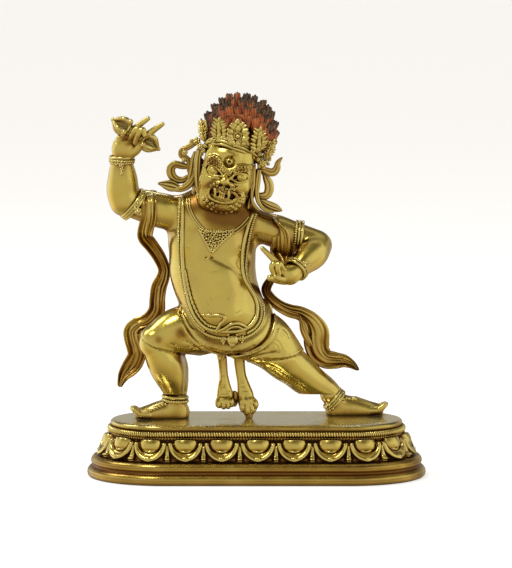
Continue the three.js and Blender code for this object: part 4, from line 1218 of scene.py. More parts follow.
def raised_hand():
    """The palm with two raised fingers, and two more curled over the sceptre."""
    clay = Clay((-96, -22, 194), (-52, 8, 230), HAND_STEP)
    clay.tube([[-83.1, -5, 193, 7.2, 7], [-83.1, -5, 198, 6.1, 6], [-82.6, -6, 203, 6.2, 5.4]], 1)
    clay.egg(seen(126.5, 147.5, -6.5), (8.4, 5.4, 7.6), 3, (0, 20, 0))
    clay.egg(seen(123.5, 151, -8.5), (6.2, 4.4, 5.6), 2)
    # The thumb, a fold of the palm and the knuckles.
    thumb = [(131, 155, -9, 2.6), (137, 151, -10.5, 2.6), (140.5, 144.5, -11.5, 2.2),
             (140.6, 137.5, -12, 1.7)]
    crease = [(121, 146, -10, 1.2), (127, 142.5, -11, 1.4), (134, 142, -11, 1.2)]
    knuckles = [(121, 139, -8, 2.6), (127, 137.5, -8, 2.6), (133, 137, -9, 2.6)]
    for places, blend in ((thumb, 1.2), (crease, 1.5), (knuckles, 1.5),
                          *((finger, 0.5) for finger in RAISED_FINGERS)):
        clay.tube(stations_seen(places), blend)
    return [relaxed_surface(clay)]


def lowered_hand():
    """The fist at the hip with its raised forefinger."""
    clay = Clay((-2, -34, 116), (34, -4, 152), HAND_STEP)
    clay.tube([[27.5, -13, 132.6, 6.4, 6.4], [23.8, -17, 129.8, 6, 5.4], [20, -19.5, 128.2, 5.6, 4.6]], 1)
    clay.egg(seen(288.5, 275.5, -20), (6.6, 4.6, 5.6), 2, (0, 30, 0))
    for finger in LOWERED_FINGERS:
        clay.tube(stations_seen(finger), 0.5)
    # The thumb, with its round end.
    clay.tube(stations_seen([(284, 281.5, -21, 2.2), (277, 280.5, -24, 2.0), (270.5, 278, -26, 1.7)]), 0.6)
    clay.egg(seen(270, 278, -26.5), (2.1, 1.8, 2.0), 0.5)
    return [relaxed_surface(clay)]


make_piece("raised_hand", raised_hand(), GILT, hollow=0.35)
make_piece("lowered_hand", lowered_hand(), GILT, hollow=0.35)


SCEPTRE_MIDDLE = np.array([-74.6, -10.5, 214.2])
SCEPTRE_SLOPE = math.radians(33)
# Along the rod from its middle: the rod's own radius, the rings, and a prong's distance off and radius.
ROD = [(0, 1.6), (5, 1.6), (9, 1.1), (15.5, 1.0)]
RINGS = [(4.0, 2.9), (5.6, 3.4)]
PRONG = [(5.0, 1.8, 1.5), (6.6, 4.2, 1.6), (9.2, 5.2, 1.7), (12.0, 4.6, 1.5), (14.4, 2.4, 1.2),
         (16.0, 0.7, 1.0)]
PRONGS = 4


def sceptre():
    """A rod with a cage of curved prongs at each end."""
    along = np.array([math.cos(SCEPTRE_SLOPE), 0, -math.sin(SCEPTRE_SLOPE)])
    across = np.cross(along, [0, 1, 0])
    parts = []
    for end in (-1, 1):
        parts += loft([[*(SCEPTRE_MIDDLE + along * end * run), r] for run, r in ROD], 8)
        for run, size in RINGS:
            parts += bangle(SCEPTRE_MIDDLE + along * end * run, along, size, size, 0.75, rounds=20)
        for i in range(PRONGS):
            a = (i + 0.5) / PRONGS * 2 * math.pi + 0.35
            side = across * math.cos(a) + np.array([0, 1, 0]) * math.sin(a)
            path = [[*(SCEPTRE_MIDDLE + along * end * run + side * off), r] for run, off, r in PRONG]
            parts += loft(path, 8, facing=np.cross(side, along))
            parts += ball(SCEPTRE_MIDDLE + along * end * 7.0 + side * 5.6, 1.8)
        parts += ball(SCEPTRE_MIDDLE + along * end * 16.8, (1.3, 1.3, 1.3))
    return parts


make_piece("sceptre", sceptre(), GILT, hollow=0.3, rounds=2, stain_and_shade=0.4)

SOLE = 35.6
BENT_FOOT = [
    [-47.6, 3, SOLE + 3.6, 6.0, 5.8], [-53, 2.4, SOLE + 4.0, 7.4, 6.8], [-59.6, 1.6, SOLE + 3.6, 7.1, 7.2],
    [-66, 0.8, SOLE + 2.9, 5.6, 7.4], [-71, 0.4, SOLE + 2.4, 4.5, 7.1],
]
STRETCHED_FOOT = [
    [49, 15.5, SOLE + 3.8, 6.2, 5.8], [54.6, 16, SOLE + 4.2, 7.6, 6.8], [60, 16.3, SOLE + 4.0, 7.4, 7.1],
    [65, 16.6, SOLE + 3.4, 6.5, 7.3], [70, 17, SOLE + 2.8, 5.5, 7.4], [74.6, 17.3, SOLE + 2.4, 4.6, 7.1],
]
FOOT_STEP = 0.42


# The toes, from the great toe outwards: reach and radius.
TOES = [(0.78, 2.1), (0.96, 1.7), (1.0, 1.7), (0.94, 1.7), (0.8, 1.7)]
TOE_PITCH = 2.85


def foot(stations, way, ankle):
    """A broad foot that stands flat on its sole, with the toes turned up."""
    low = np.min(stations, axis=0)[:3] - [12, 12, 8]
    high = np.max(stations, axis=0)[:3] + [12, 12, 16]
    clay = Clay(low, high, FOOT_STEP)
    clay.tube(stations, 2)
    clay.tube(ankle, 3)
    heel, tip = np.array(stations[0][:3]), np.array(stations[-1][:3])
    clay.egg(heel + [way * 1.2, 0, -1.2], (6.2, 5.8, 5.6), 2)
    for i, (long, size) in enumerate(TOES):
        y = tip[1] + (i - 2) * TOE_PITCH
        toe = [[tip[0] - way * 4.0, y, SOLE + 3.0, size + 0.5]]
        for run, rise, wider in ((1.2, 3.3, 0.3), (4.2, 4.8, 0), (6.4, 6.4, -0.4)):
            toe.append([tip[0] + way * run * long, y, SOLE + rise, size + wider])
        clay.tube(toe, 0.35)
        clay.egg([tip[0] + way * 6.2 * long, y, SOLE + 7.6], (1.5, 1.0, 0.5), 0.2,
                 (0, -30 * way, 0), cut=True)
    # Sinews over the instep.
    for off in (-3.4, -0.6, 2.2):
        rise = ((3, 6.1), (8, 8.2), (13, 10.2))
        clay.tube([[tip[0] - way * run, tip[1] + off, SOLE + up, 0.9] for run, up in rise], 1.2)
    # The sole is flat where it stands.
    clay.value = np.maximum(clay.value, SOLE - clay.axes[2])
    return Front(clay), [relaxed_surface(clay)]


left_ankle = [[-50.2, 2, 47.5, 6.6, 7], [-49.4, 2.6, 42, 5.9, 6.2], [-48.6, 3, 39, 5, 5.4]]
right_ankle = [[46.5, 14.8, 48.6, 7, 7.4], [50.2, 15.4, 43.6, 6, 6.4], [51.5, 15.6, 40, 5, 5.6]]
left_front, left_foot = foot(BENT_FOOT, -1, left_ankle)
right_front, right_foot = foot(STRETCHED_FOOT, 1, right_ankle)
make_piece("feet", left_foot + right_foot, GILT, hollow=0.35)

# The two legs of the animal skin that hang between the thighs.
SKIN_STEP = 0.4
SKIN_LEGS = [
    ([(221, 352, 3, 3.1), (222.6, 362, 5, 2.85), (223.4, 374, 5, 2.85), (224, 381, 4.6, 3.3),
      (224.4, 388, 4.2, 4.2),
      (225, 395, 3.6, 5.3)],
     [(224.6, 402.4, 2.6, 6.1, 4.3), (219, 404.6, 1.2, 2.2, 2.4), (223.6, 406, 1.0, 2.2, 2.3),
      (228.2, 405.6, 1.0, 2.2, 2.4), (231.6, 402.6, 1.4, 1.9, 3.0)],
     [[(221.2, 404.6), (220.8, 408.6)], [(226, 405), (226, 409)], [(230.2, 404), (230.8, 408)]]),
    ([(238.4, 352, 3, 3.4), (239.4, 362, 5, 3.4), (240.8, 374, 5, 3.2), (242.4, 381, 4.6, 3.5),
      (244, 388, 4.2, 4.2),
      (245.6, 395, 3.6, 5.0)],
     [(247.6, 402.8, 2.6, 5.9, 4.8), (248.8, 408.4, 2.2, 4.8, 4.0), (255.2, 404.6, 1.4, 2.2, 3.0),
      (252.6, 409.4, 1.0, 2.1, 2.4), (247.6, 411, 0.8, 2.2, 2.3), (242.4, 407.4, 1.2, 2.1, 2.8)],
     [[(244.8, 406), (244.8, 411.6)], [(250, 408), (250.6, 413.6)], [(253.6, 404.6), (255, 409)]]),
]


# Creases of the skin's legs: shallow lines, and a few long ones.
SKIN_CREASES = [
    [(219, 376.6), (224.5, 376.2)], [(222, 384.6), (225, 384.8)], [(222, 387), (225, 387)],
    [(220, 394), (229, 393)], [(219, 397), (229, 396.4)], [(240, 380), (243, 380)],
    [(240, 382.5), (243.4, 382.5)], [(241, 387), (245, 387.5)], [(242, 391), (247, 391)],
    [(226, 391), (230, 391)], [(223, 355), (220.5, 360)], [(226, 356), (223, 361)],
]
LONG_CREASES = [[(220, 361), (220, 378), (220.6, 392)], [(240.6, 398), (243, 405)], [(246, 396), (250, 404)]]


def skin_legs():
    clay = Clay((-34, -8, 34), (10, 14, 88), SKIN_STEP)
    for stations, pads, slits in SKIN_LEGS:
        clay.tube(stations_seen([(u, v, y, w, min(2.8 + 0.25 * (w - 2.5), 3.3))
                                 for u, v, y, w in stations]), 1)
        for u, v, y, wide, tall in pads:
            clay.egg(seen(u, v, y), (wide, 4.0 if wide > 3 else 2.6, tall), 1.2)
        for slit in slits:
            clay.trace(on_plane(slit, 0), 0.6, 0.55, 2.4)
    # Where the paws touch, and the tip that stands on the plinth.
    clay.egg(seen(234.6, 399, 5.8), (2.4, 1.5, 5.2), 1.5)
    clay.tube(stations_seen([(248.6, 411, 2.4, 3.4), (249, 415.6, 2, 2.4), (249.2, 418.6, 1.8, 1.6)]), 1)
    for lines, width, depth in ((SKIN_CREASES, 0.4, 0.35), (LONG_CREASES, 0.7, 0.3)):
        for places in lines:
            clay.trace(on_plane(places, 2), width, depth, 3)
    return [relaxed_surface(clay)]


make_piece("skin_legs", skin_legs(), GILT, hollow=0.35)


def folds(count, depth):
    """A cloth section: rounded pleats with narrow valleys, the same on both faces."""

    def section(angle):
        across = np.cos(angle)
        face = np.where(np.sin(angle) >= 0, 1.0, -1.0)
        thick = np.abs(np.sin(angle)) ** 0.35
        wave = np.abs(np.cos(across * count * math.pi / 2 + 0.4)) ** 0.6 - 0.5
        sway = 0.25 * np.sin(across * 2.2 + 0.6)
        return across, face * thick * 0.45 + (wave * depth + sway) * (0.35 + 0.65 * thick)

    return section


def draped(rows, steps, grooves, seed):
    """A cloth section whose folds wander and change their depth along the band."""
    run = np.linspace(0, len(rows) - 1, (len(rows) - 1) * steps + 1)[:, None]

    def section(angle):
        across = np.cos(angle)[None]
        face = np.where(np.sin(angle) >= 0, 1.0, -1.0)[None]
        thick = np.abs(np.sin(angle))[None] ** 0.35
        relief = 0.45 * np.sin(across * 2.4 + 1.4 * np.sin(run * 0.55 + seed))
        for k, (place, width, depth) in enumerate(grooves):
            sway = 0.1 * np.sin(run * 0.8 + 2.1 * k + seed)
            deep = depth * (0.72 + 0.28 * np.sin(run * 1.1 + 1.3 * k + 2 * seed))
            relief = relief - deep * np.exp(-(((across - place - sway) / width) ** 2))
        rim = 0.3 * np.exp(-(((np.abs(across) - 0.88) / 0.08) ** 2))
        stand = face * thick * (0.45 + rim) + relief * (0.3 + 0.7 * thick)
        return np.broadcast_to(across, relief.shape), stand

    return section


LEFT_SCARF = [
    [-66.5, 3, 177, 4.6], [-66.5, -8, 174.5, 4.8], [-66.6, -12, 168, 4.9], [-67, -11.5, 161, 4.9],
    [-68.8, -7, 153, 4.9], [-68.6, -2, 148.6, 4.7], [-65.2, 3, 143.5, 4.4], [-60.5, 7, 136, 4.1],
    [-57.4, 10, 128, 3.8], [-58.2, 11, 122, 4.2], [-60.6, 12, 116, 4.9], [-61.6, 12, 109, 4.9],
    [-62, 12, 101.9, 5.2], [-64.8, 12, 96.9, 5.3], [-69.1, 12, 93.7, 5.1], [-74.1, 12, 91.9, 5.2],
    [-77.2, 12, 88.1, 5.6], [-76.8, 11, 83.1, 5.4], [-75, 10, 77.5, 5.6], [-74.5, 10, 73.7, 5.7],
    [-76.3, 9, 69.3, 5.9], [-79.1, 8, 65.6, 5.4], [-82.2, 7, 61.8, 4.0], [-84, 6, 58.1, 2.6],
    [-85, 6, 54.9, 1.6],
]
RIGHT_SCARF = [
    [10.6, -21, 127, 2.2], [8.8, -15, 124, 2.6], [6.6, -4, 119, 3.0], [6.2, 4, 114.5, 3.1],
    [9.5, 11, 108.6, 3.4], [15, 14, 103.8, 3.7], [21, 15.5, 100.8, 4.2], [27.5, 16, 99, 4.6],
    [33.6, 16, 94.6, 5.8], [37.2, 16, 88, 7.8], [37.4, 16, 80.5, 8.0], [39, 16, 74.6, 7.2],
    [43.4, 15.5, 70.6, 6.2], [49, 15, 69.8, 5.4], [54.4, 14, 69.6, 4.2], [59.2, 13, 67.6, 2.8],
    [62.4, 12, 65.2, 1.5], [63.6, 12, 64.4, 0.6],
]
BACK_SCARF = [
    [-66, 4, 177, 4.4], [-64, 9, 170, 4.6], [-56, 14, 160, 4.8], [-44, 19, 151, 5.2], [-28, 22.6, 146, 5.6],
    [-10, 20.6, 146, 5.4], [4, 16, 149, 4.8], [13, 14, 153, 4.0], [17.5, 9, 156, 3.2],
]
RIGHT_WRAP = [
    [16.0, 8, 157.6, 5.4], [15.6, -2, 158.2, 6.6], [15.4, -8.6, 155, 7.0], [15.2, -10.8, 149, 7.0],
    [15.2, -9, 142, 6.0], [14.4, -3.5, 138.0, 5.0], [15.2, 2, 137, 3.6], [13.6, 6, 138.5, 3],
]


# Grooves of the scarf: place across, width and depth.
SCARF_GROOVES = [(-0.5, 0.13, 1.0), (-0.1, 0.1, 0.7), (0.28, 0.1, 0.8), (0.66, 0.12, 0.9)]
# The turned-over edge of the right end, and the end of the wrap that hangs behind the hand.
SCARF_FOLD = [(299.5, 316, 13, 1.0), (301.4, 323, 13, 2.2), (303, 330, 13, 3.0), (306, 337, 13, 3.2),
              (309.6, 343, 13, 2.6), (312, 346, 13, 1.2)]
SCARF_FALL = [(281, 240, -3, 10), (282.5, 247, -5, 13), (284, 253, -7, 12), (285.4, 259, -10, 8),
              (287, 267, -13, 4)]


def scarf():
    steps = 6
    parts = []

    def add(rows, thick, around, grooves, seed, facing=(0, 1, 0)):
        section = draped(rows, steps, grooves, seed)
        parts.extend(loft([[*row, thick] for row in rows], around, steps, section, facing))

    add(LEFT_SCARF, 1.5, 80, SCARF_GROOVES, 0.6)
    add(RIGHT_SCARF, 1.6, 80, SCARF_GROOVES, 2.4)
    add(BACK_SCARF, 1.2, 80, SCARF_GROOVES, 4.0, (0.2, 1, 0.1))
    add(RIGHT_WRAP, 1.0, 80, SCARF_GROOVES, 1.2, (0.4, 0.55, 0.75))
    fold, fall = ([[*seen(u, v, y), w * PIXEL] for u, v, y, w in places]
                  for places in (SCARF_FOLD, SCARF_FALL))
    add(fold, 1.2, 40, [(0.1, 0.2, 0.8)], 0.3)
    add(fall, 1.1, 64, [(-0.5, 0.1, 1.2), (-0.1, 0.1, 1.2), (0.4, 0.1, 1.3)], 3.1)
    return parts


make_piece("scarf", scarf(), GILT, hollow=0.8, rounds=4, stain_and_shade=0.55)


# Beads between the toes and the instep of each foot.
LEFT_FOOT_BEADS = [(165.4, 404.6), (162.2, 405.2), (159.4, 406.6), (156.6, 408), (153.6, 409.4),
                   (150.6, 410.4)]
RIGHT_FOOT_BEADS = [(343.6, 399.6), (346.4, 398.6), (349.6, 398.8), (352.8, 399.2), (356, 399.8)]


def bangles(middle, slope, width, depth, rings, pitch=1.5):
    """Rings [place along the limb, radius, kind] side by side on a limb that runs along a slope."""
    parts = []
    for off, size, kind in rings:
        parts += bangle(middle + np.array(slope) * off, slope, width, depth, size, kind, pitch)
    return parts


def bracelets():
    # Raised arm: the slanted armlet with its jewel, and the rings at the wrist with a pendant.
    rings = ((-1.5, 0.8, PLAIN), (0.0, 1.05, BEADED), (1.5, 0.9, PLAIN))
    parts = bangles(seen(134, 204.5, -2.5), (-0.78, -0.1, 0.62), 10.4, 9.9, rings)
    parts += rosette(seen(138.5, 211.5, -12.5), 2.6, 6, facing=(0.1, -1, 0), heart=1.5)
    parts += ball(seen(136, 209, -12.5), 1.3)
    parts += ball(seen(141, 214.5, -12), 1.2)
    for v, kind, size, wide in ((157.5, PLAIN, 1.15, 7.0), (160.6, TWISTED, 1.1, 7.2),
                                (162.8, BEADED, 0.8, 7.2)):
        parts += bangle(seen(122.4, v, -5), (0, 0, 1), wide, wide, size, kind, 1.6)
    for u, v, y, size, petals in ((122, 166, -12.6, 1.9, 6), (122.5, 170.2, -13.2, 1.6, 5)):
        parts += rosette(seen(u, v, y), size, petals)
    parts += ball(seen(122.3, 174, -13.2), (1.0, 0.9, 1.5))
    for u in (117.7, 126.7):
        parts += rosette(seen(u, 164.6, -12), 1.2, 5)
    # Lowered arm: armlet, bracelet and its flower.
    rings = ((-2.6, 0.95, BEADED), (-0.7, 0.9, PLAIN), (1.2, 1.0, PLAIN))
    parts += bangles(seen(299.5, 236.5, 3), (0.99, 0, -0.12), 9.4, 9.7, rings)
    rings = ((-1.1, 1.0, PLAIN), (1.0, 1.0, TWISTED))
    parts += bangles(seen(296.4, 268.8, -15.8), (0.56, 0.62, 0.5), 7.3, 7.1, rings, 1.6)
    parts += rosette(seen(305.4, 266, -19.4), 3.4, 8, heart=1.5, facing=(0.25, -1, 0.1))
    # Ankles.
    parts += bangle(seen(175, 396.8, 2.2), (0.05, 0, 1), 7.5, 7.7, 1.15)
    parts += bangle(seen(175, 400.6, 2.2), (0.05, 0, 1), 7.5, 7.8, 1.2, BEADED)
    rings = ((-1.7, 0.9, PLAIN), (0.0, 0.9, TWISTED), (1.7, 0.9, PLAIN))
    parts += bangles(seen(334.6, 400, 15), (0.74, 0.1, -0.62), 7.6, 7.8, rings)
    for surface, places in ((left_front, LEFT_FOOT_BEADS), (right_front, RIGHT_FOOT_BEADS)):
        for u, v in places:
            parts += ball(surface.at(u, v, 0.2), 1.05, segments=12, rings=8)
    return parts


make_piece("bracelets", bracelets(), GILT, hollow=0.3, rounds=2)


# The head has its own frame: right, back and up from its middle.
HEAD_MIDDLE = np.array([-19.5, -3, 184])
HEAD_LEAN, HEAD_TURN = math.radians(11.5), math.radians(-3)
lean = np.array(
    [[math.cos(HEAD_LEAN), 0, math.sin(HEAD_LEAN)], [0, 1, 0], [-math.sin(HEAD_LEAN), 0, math.cos(HEAD_LEAN)]]
)
turn = np.array(
    [[math.cos(HEAD_TURN), -math.sin(HEAD_TURN), 0], [math.sin(HEAD_TURN), math.cos(HEAD_TURN), 0], [0, 0, 1]]
)
HEAD = lean @ turn
HEAD_STEP = 0.3


def to_head(point):
    return HEAD.T @ (np.array(point) - HEAD_MIDDLE)


def from_head(points):
    return np.array(points) @ HEAD.T + HEAD_MIDDLE


def head_at(u, v, y):
    """The place of the picture as a point in the head's frame, at a depth of that frame."""
    start, end = to_head(seen(u, v, 0)), to_head(seen(u, v, 1))
    return start + (end - start) * (y - start[1]) / (end[1] - start[1])


SKULL = [
    [0.4, -2.0, -2.0, 14.9, 15], [0.6, -1.2, 3, 16.8, 16.4], [1.2, 0, 11, 15.6, 16.6],
    [1.6, 1, 20, 13.8, 15.8], [1.6, 2, 27, 11, 12.6],
]


# Eyes: the ball and its tilt, the upper lid, the lower lid, the shelf under it and the inner corner.
EYES = [
    ((214.2, 171.4), 28,
     [(208.4, 170.6), (210.4, 166.8), (214.6, 166.6), (218.8, 170), (223, 175.4)],
     [(208.6, 171.4), (211.2, 175.2), (216, 176.6), (222.4, 176.6)],
     [(206.6, 176.6), (211, 178.2), (217, 178.6), (223.4, 177.6)], (220, 174.4)),
    ((241.2, 177.8), -4,
     [(231, 179.4), (234.6, 175.4), (239.6, 174.2), (244.8, 175), (248.8, 178.2)],
     [(231.6, 180), (235.6, 182.4), (241, 183.2), (245.6, 182), (248.8, 178.8)],
     [(232, 182.6), (236.6, 185.2), (242.4, 185.8), (248, 183.6)], (234.8, 178.2)),
]
# Curls of the brows, the moustache and the beard: places, and sizes where they differ.
BROW_CURLS = [
    (209.4, 164.4, 1.1), (209.8, 161, 1.2), (211.8, 158.2, 1.3), (214.8, 157.4, 1.3), (217.8, 158.8, 1.3),
    (220.2, 161.4, 1.25), (222, 164.4, 1.2), (223.6, 167.4, 1.1), (212.4, 162, 1.25), (215.4, 161, 1.25),
    (218, 163.6, 1.25), (220.2, 166.6, 1.2), (221.6, 169.6, 1.1), (215, 164.4, 1.1), (217.6, 167, 1.05),
    (233.6, 171.2, 1.2), (236.6, 169.2, 1.25), (240, 168.2, 1.3), (243.6, 167.8, 1.3), (247, 167.4, 1.25),
    (250, 166.6, 1.1), (237.8, 172, 1.2), (241.2, 171.4, 1.25), (244.6, 171.2, 1.2), (247.8, 170.8, 1.1),
    (235, 173.6, 1.0),
]
MOUSTACHE_CURLS = [
    (214.4, 184.8, 1.0), (217.4, 186.6, 1.0), (211.6, 186.2, 0.95), (223.6, 187.4, 1.05), (226.6, 189.4, 1.0),
    (220.6, 188.2, 1.0), (231.4, 189.4, 1.05), (234.4, 190, 1.0), (223, 190, 0.9), (229.4, 190.2, 0.9),
    (233.8, 187, 0.95), (236.8, 188.6, 0.8),
]
BEARD_CURLS = [
    (203.6, 199), (205.4, 203), (208.4, 206.4), (212.2, 209), (216.6, 211), (221.4, 212.2), (226.4, 212.4),
    (231.2, 211.4), (235.6, 209), (239.4, 206), (242.6, 202.4), (207.4, 201), (210.6, 204.4), (214.4, 207),
    (218.8, 208.6), (223.4, 209.4), (228.2, 209), (232.8, 207.4), (236.8, 204.8), (240.2, 201.6),
    (212.8, 203.6), (217, 205.8), (221.2, 207), (226, 207.2), (230.4, 206.2),
]
UPPER_LIP = [(208.4, 193.4), (209.6, 189.6), (213, 187.4), (217, 188.8), (220.6, 190.6), (225, 191.6),
             (229.4, 191.6), (233.6, 193.2), (236.8, 196.2)]
LOWER_LIP = [(208.6, 194), (210.4, 198), (214.4, 200.6), (219.4, 202.4), (225, 203.4), (230.2, 203),
             (234.6, 201),
             (237.4, 197.6)]
# Holes of the mouth as (u, v, half width, half height), its small teeth and its fangs.
MOUTH_HOLES = [(212.4, 192.8, 1.9, 1.8), (217.8, 195, 0.95, 1.2), (226.7, 197, 1.0, 1.2),
               (232, 197.8, 2.1, 1.8)]
TEETH = [(220.2, 193), (222.4, 193.8), (224.6, 194.4), (219.4, 197), (221.6, 198), (223.8, 198.8)]
FANGS = [[(215.2, 189.6), (215.5, 193.4), (215, 197.4)], [(229, 192.6), (229, 196.4), (228.4, 200)]]


class Face:
    """The head's clay, worked on from the front by places of the picture."""

    def __init__(self, clay):
        self.clay, self.front = clay, Front(clay)

    def on(self, u, v, lift=0.0):
        y = -15.0
        for _ in range(3):
            point = head_at(u, v, y)
            y = self.front.y(point[0], point[2]) - lift
        return head_at(u, v, y)

    def roll(self, places, sizes, lift=0.0, blend=0.5):
        self.clay.tube([[*self.on(u, v, lift), size] for (u, v), size in zip(places, sizes)], blend)

    def press(self, places, width, depth, y=None):
        points = [self.on(u, v) if y is None else head_at(u, v, y) for u, v in places]
        self.clay.trace([at[[0, 2]] for at in points], width, depth, -2)

    def ring(self, centre, radius, width, depth):
        self.clay.trace(circle_of(radius)[:, [0, 2]] + centre[[0, 2]], width, depth, -5, 1)

    def curl(self, u, v, size, lift=0.9, y=None):
        """A small ring-shaped curl with a hollow heart."""
        at = self.on(u, v, lift) if y is None else head_at(u, v, y)
        self.clay.egg(at, (size, 1.1, size), 0.2)
        self.clay.egg(at + [0, -1.2, 0], (size * 0.42, 0.9, size * 0.42), 0.1, cut=True)


def skull():
    clay = Clay((-21, -26, -26), (21, 21, 36), HEAD_STEP)
    clay.tube(SKULL, 1)
    # The face is square: flat in front, with corners at the temples and the jaw.
    clay.egg((0, -8.5, 15), (13.8, 8.2, 9), 4)
    for side in (-1, 1):
        corner = [(9.4, -8.4, 20, 4.6, 5), (10.2, -9.6, 12, 4.8, 5), (10.4, -9.8, 2, 5, 5),
                  (9.6, -9.2, -6, 5.6, 5.2), (8, -8.6, -10.6, 5.6, 5.4)]
        clay.tube([[side * x, *rest] for x, *rest in corner], 2.5)
    # A broad jaw that hangs a little lower on the beholder's left.
    clay.egg((-7.4, -7.4, -11.2), (7.8, 7.4, 7.2), 3)
    clay.egg((6.6, -7.4, -9.8), (7.6, 7.4, 6.9), 3)
    clay.egg((-1, -9.6, -11.6), (8.4, 6.2, 6.6), 3)
    clay.soften(3)
    return clay


def eyes_and_brows(face):
    clay, on = face.clay, face.on
    # Cheeks and brow ridges.
    clay.egg(on(208, 182, -3.2), (5.0, 3.8, 4.2), 3)
    clay.egg(on(240.5, 187, -3.2), (5.2, 3.8, 4.2), 3)
    ridge = [(207, 166), (210, 160), (215, 159), (220, 163.5), (225, 169.5)]
    face.roll(ridge, (1.5, 2.1, 2.3, 2.2, 1.6), -0.5, 1.2)
    face.roll([(230, 171), (236, 169), (243, 168), (250, 167.6)], (1.6, 2.2, 2.3, 1.6), -0.5, 1.2)
    for ball_at, tilt, upper, lower, shelf, corner in EYES:
        clay.egg(on(*ball_at, -1.2), (5.4, 2.2, 3.6), 0.6, (0, tilt, 0), cut=True)
        clay.egg(on(*ball_at, -0.7), (3.5, 2.7, 2.6), 0.2, (0, tilt, 0))
        face.roll(upper, [0.9] * len(upper), 0.5, 0.3)
        face.roll(lower, [0.7] * len(lower), 0.3, 0.3)
        face.roll(shelf, [0.4, 0.8, 0.8, 0.4], 0.0, 0.6)
        clay.egg(on(*corner, 0.2), (1.5, 1.2, 1.1), 0.3, (0, tilt, 0), cut=True)
        face.ring(on(*ball_at), 1.35, 0.4, 0.25)
    # Third eye, and the frown above it.
    centre = on(229.6, 162.5)
    face.ring(centre, 2.8, 0.8, 1.2)
    clay.egg(centre + [0, 0.4, 0], (2.1, 1.1, 2.1), 0.1)
    clay.egg(centre + [0, -0.5, 0], (0.9, 1.3, 0.9), 0.1, cut=True)
    face.press([(232.2, 157.4), (234.6, 155.6), (233.6, 152.6)], 0.9, 0.45)
    face.press([(235.4, 158.8), (236.8, 155.4)], 0.6, 0.3)
    for u, v, size in BROW_CURLS:
        face.curl(u, v, size)
    face.curl(224.2, 171.4, 1.25, 1.2)
    face.curl(230.2, 172.8, 1.3, 1.2)


def nose(face):
    """A short broad nose with wide wings and nostrils, and the folds beside it."""
    clay = face.clay
    ridge = ((226.8, 174, -16.4, 1.7, 1.8), (226, 178, -17.6, 2.2, 2.2), (225.4, 181.4, -19.4, 2.8, 2.6))
    clay.tube([[*head_at(u, v, y), w, d] for u, v, y, w, d in ridge], 1.2)
    clay.egg(head_at(225.2, 182.6, -19.6), (2.9, 2.7, 2.1), 0.8)
    clay.egg(head_at(219.4, 183, -18), (2.4, 2.4, 1.7), 0.6, (0, -10, 0))
    clay.egg(head_at(230.6, 185, -18), (2.4, 2.4, 1.7), 0.6, (0, 24, 0))
    for u, v in ((220.6, 185.2), (228.4, 186.8)):
        clay.egg(head_at(u, v, -20), (0.95, 1.4, 0.75), 0.2, cut=True)
    face.press([(215.4, 179), (219, 178), (222.6, 179.4)], 0.5, 0.35)
    face.press([(230.4, 181.4), (233.6, 182), (236, 185)], 0.5, 0.35)
    face.roll([(216, 182.4), (211.6, 185), (208.2, 189), (207.2, 195)], (0.8, 1.1, 1.1, 0.5), 0, 0.8)


def mouth(face):
    """A mound with lips round it, holes beside the fangs, and teeth between."""
    clay = face.clay
    clay.egg(head_at(224, 194.6, -14.2), (9.6, 4.2, 5.2), 1.5, (0, 12, 0))
    for u, v, wide, tall in MOUTH_HOLES:
        clay.egg(head_at(u, v, -18.4), (wide, 3.4, tall), 0.2, cut=True)
    for places, size, out in ((UPPER_LIP, 1.0, -17.4), (LOWER_LIP, 1.1, -16.9)):
        clay.tube([[*head_at(u, v, out + 1.6 * (1 - math.cos((u - 223) / 13))), size]
                   for u, v in places], 0.5)
    for u, v in TEETH:
        clay.egg(head_at(u, v, -18.2), (0.72, 1.0, 1.05), 0.12)
    for places in FANGS:
        clay.tube([[*head_at(u, v, -18.6), r] for (u, v), r in zip(places, (1.0, 0.85, 0.4))], 0.15)
    face.press([(211, 201.6), (216.6, 204.4), (223, 205.8), (230, 205.6)], 1.0, 0.6, -15)


def moustache_and_beard(face):
    clay = face.clay
    for u, v, size in MOUSTACHE_CURLS:
        face.curl(u, v, size, y=-17.6 - 0.9 * math.cos((u - 224) / 10))
    # Its end beside the mouth is rolled up.
    angle = np.arange(14) / 14 * 1.5 * math.pi
    for size, lift in ((2.9, 0.3), (1.7, 0.9)):
        spot = face.on(239.2, 196.4, lift)
        ring = np.stack([spot[0] + size * np.cos(angle), spot[1] + 0 * angle,
                         spot[2] + size * np.sin(angle)], 1)
        clay.tube([[*at, 0.7] for at in ring], 0.3)
    # The chin, with small curls along the jaw.
    clay.egg(face.on(222, 206.6, -2.6), (6.6, 4.0, 3.4), 1.5)
    for u, v in BEARD_CURLS:
        at = face.on(u, v, 0.25)
        clay.egg(at, (1.2, 0.9, 1.1), 0.25)
        clay.egg(at + [0.2, -0.95, 0.1], (0.35, 0.6, 0.35), 0.1, cut=True)


def ears(clay):
    """Ears with long lobes."""
    rim = [(16.2, 2.5, 9), (18.2, 3.5, 10), (19.4, 4, 5), (18.8, 3, -3), (17.6, 2, -11), (16.6, 1, -16)]
    for side in (-1, 1):
        clay.tube([[side * x, y, z, 1.3, 2.2] for x, y, z in rim], 1)
        clay.egg((side * 17.2, 1, -2), (1.5, 3.0, 11), 1)
        clay.egg((side * 18.6, -0.5, 3), (1.0, 1.5, 4.4), 0.4, cut=True)


def head():
    face = Face(skull())
    eyes_and_brows(face)
    nose(face)
    mouth(face)
    moustache_and_beard(face)
    ears(face.clay)
    points, faces = relaxed_surface(face.clay, 1)
    return [(from_head(points), faces)]


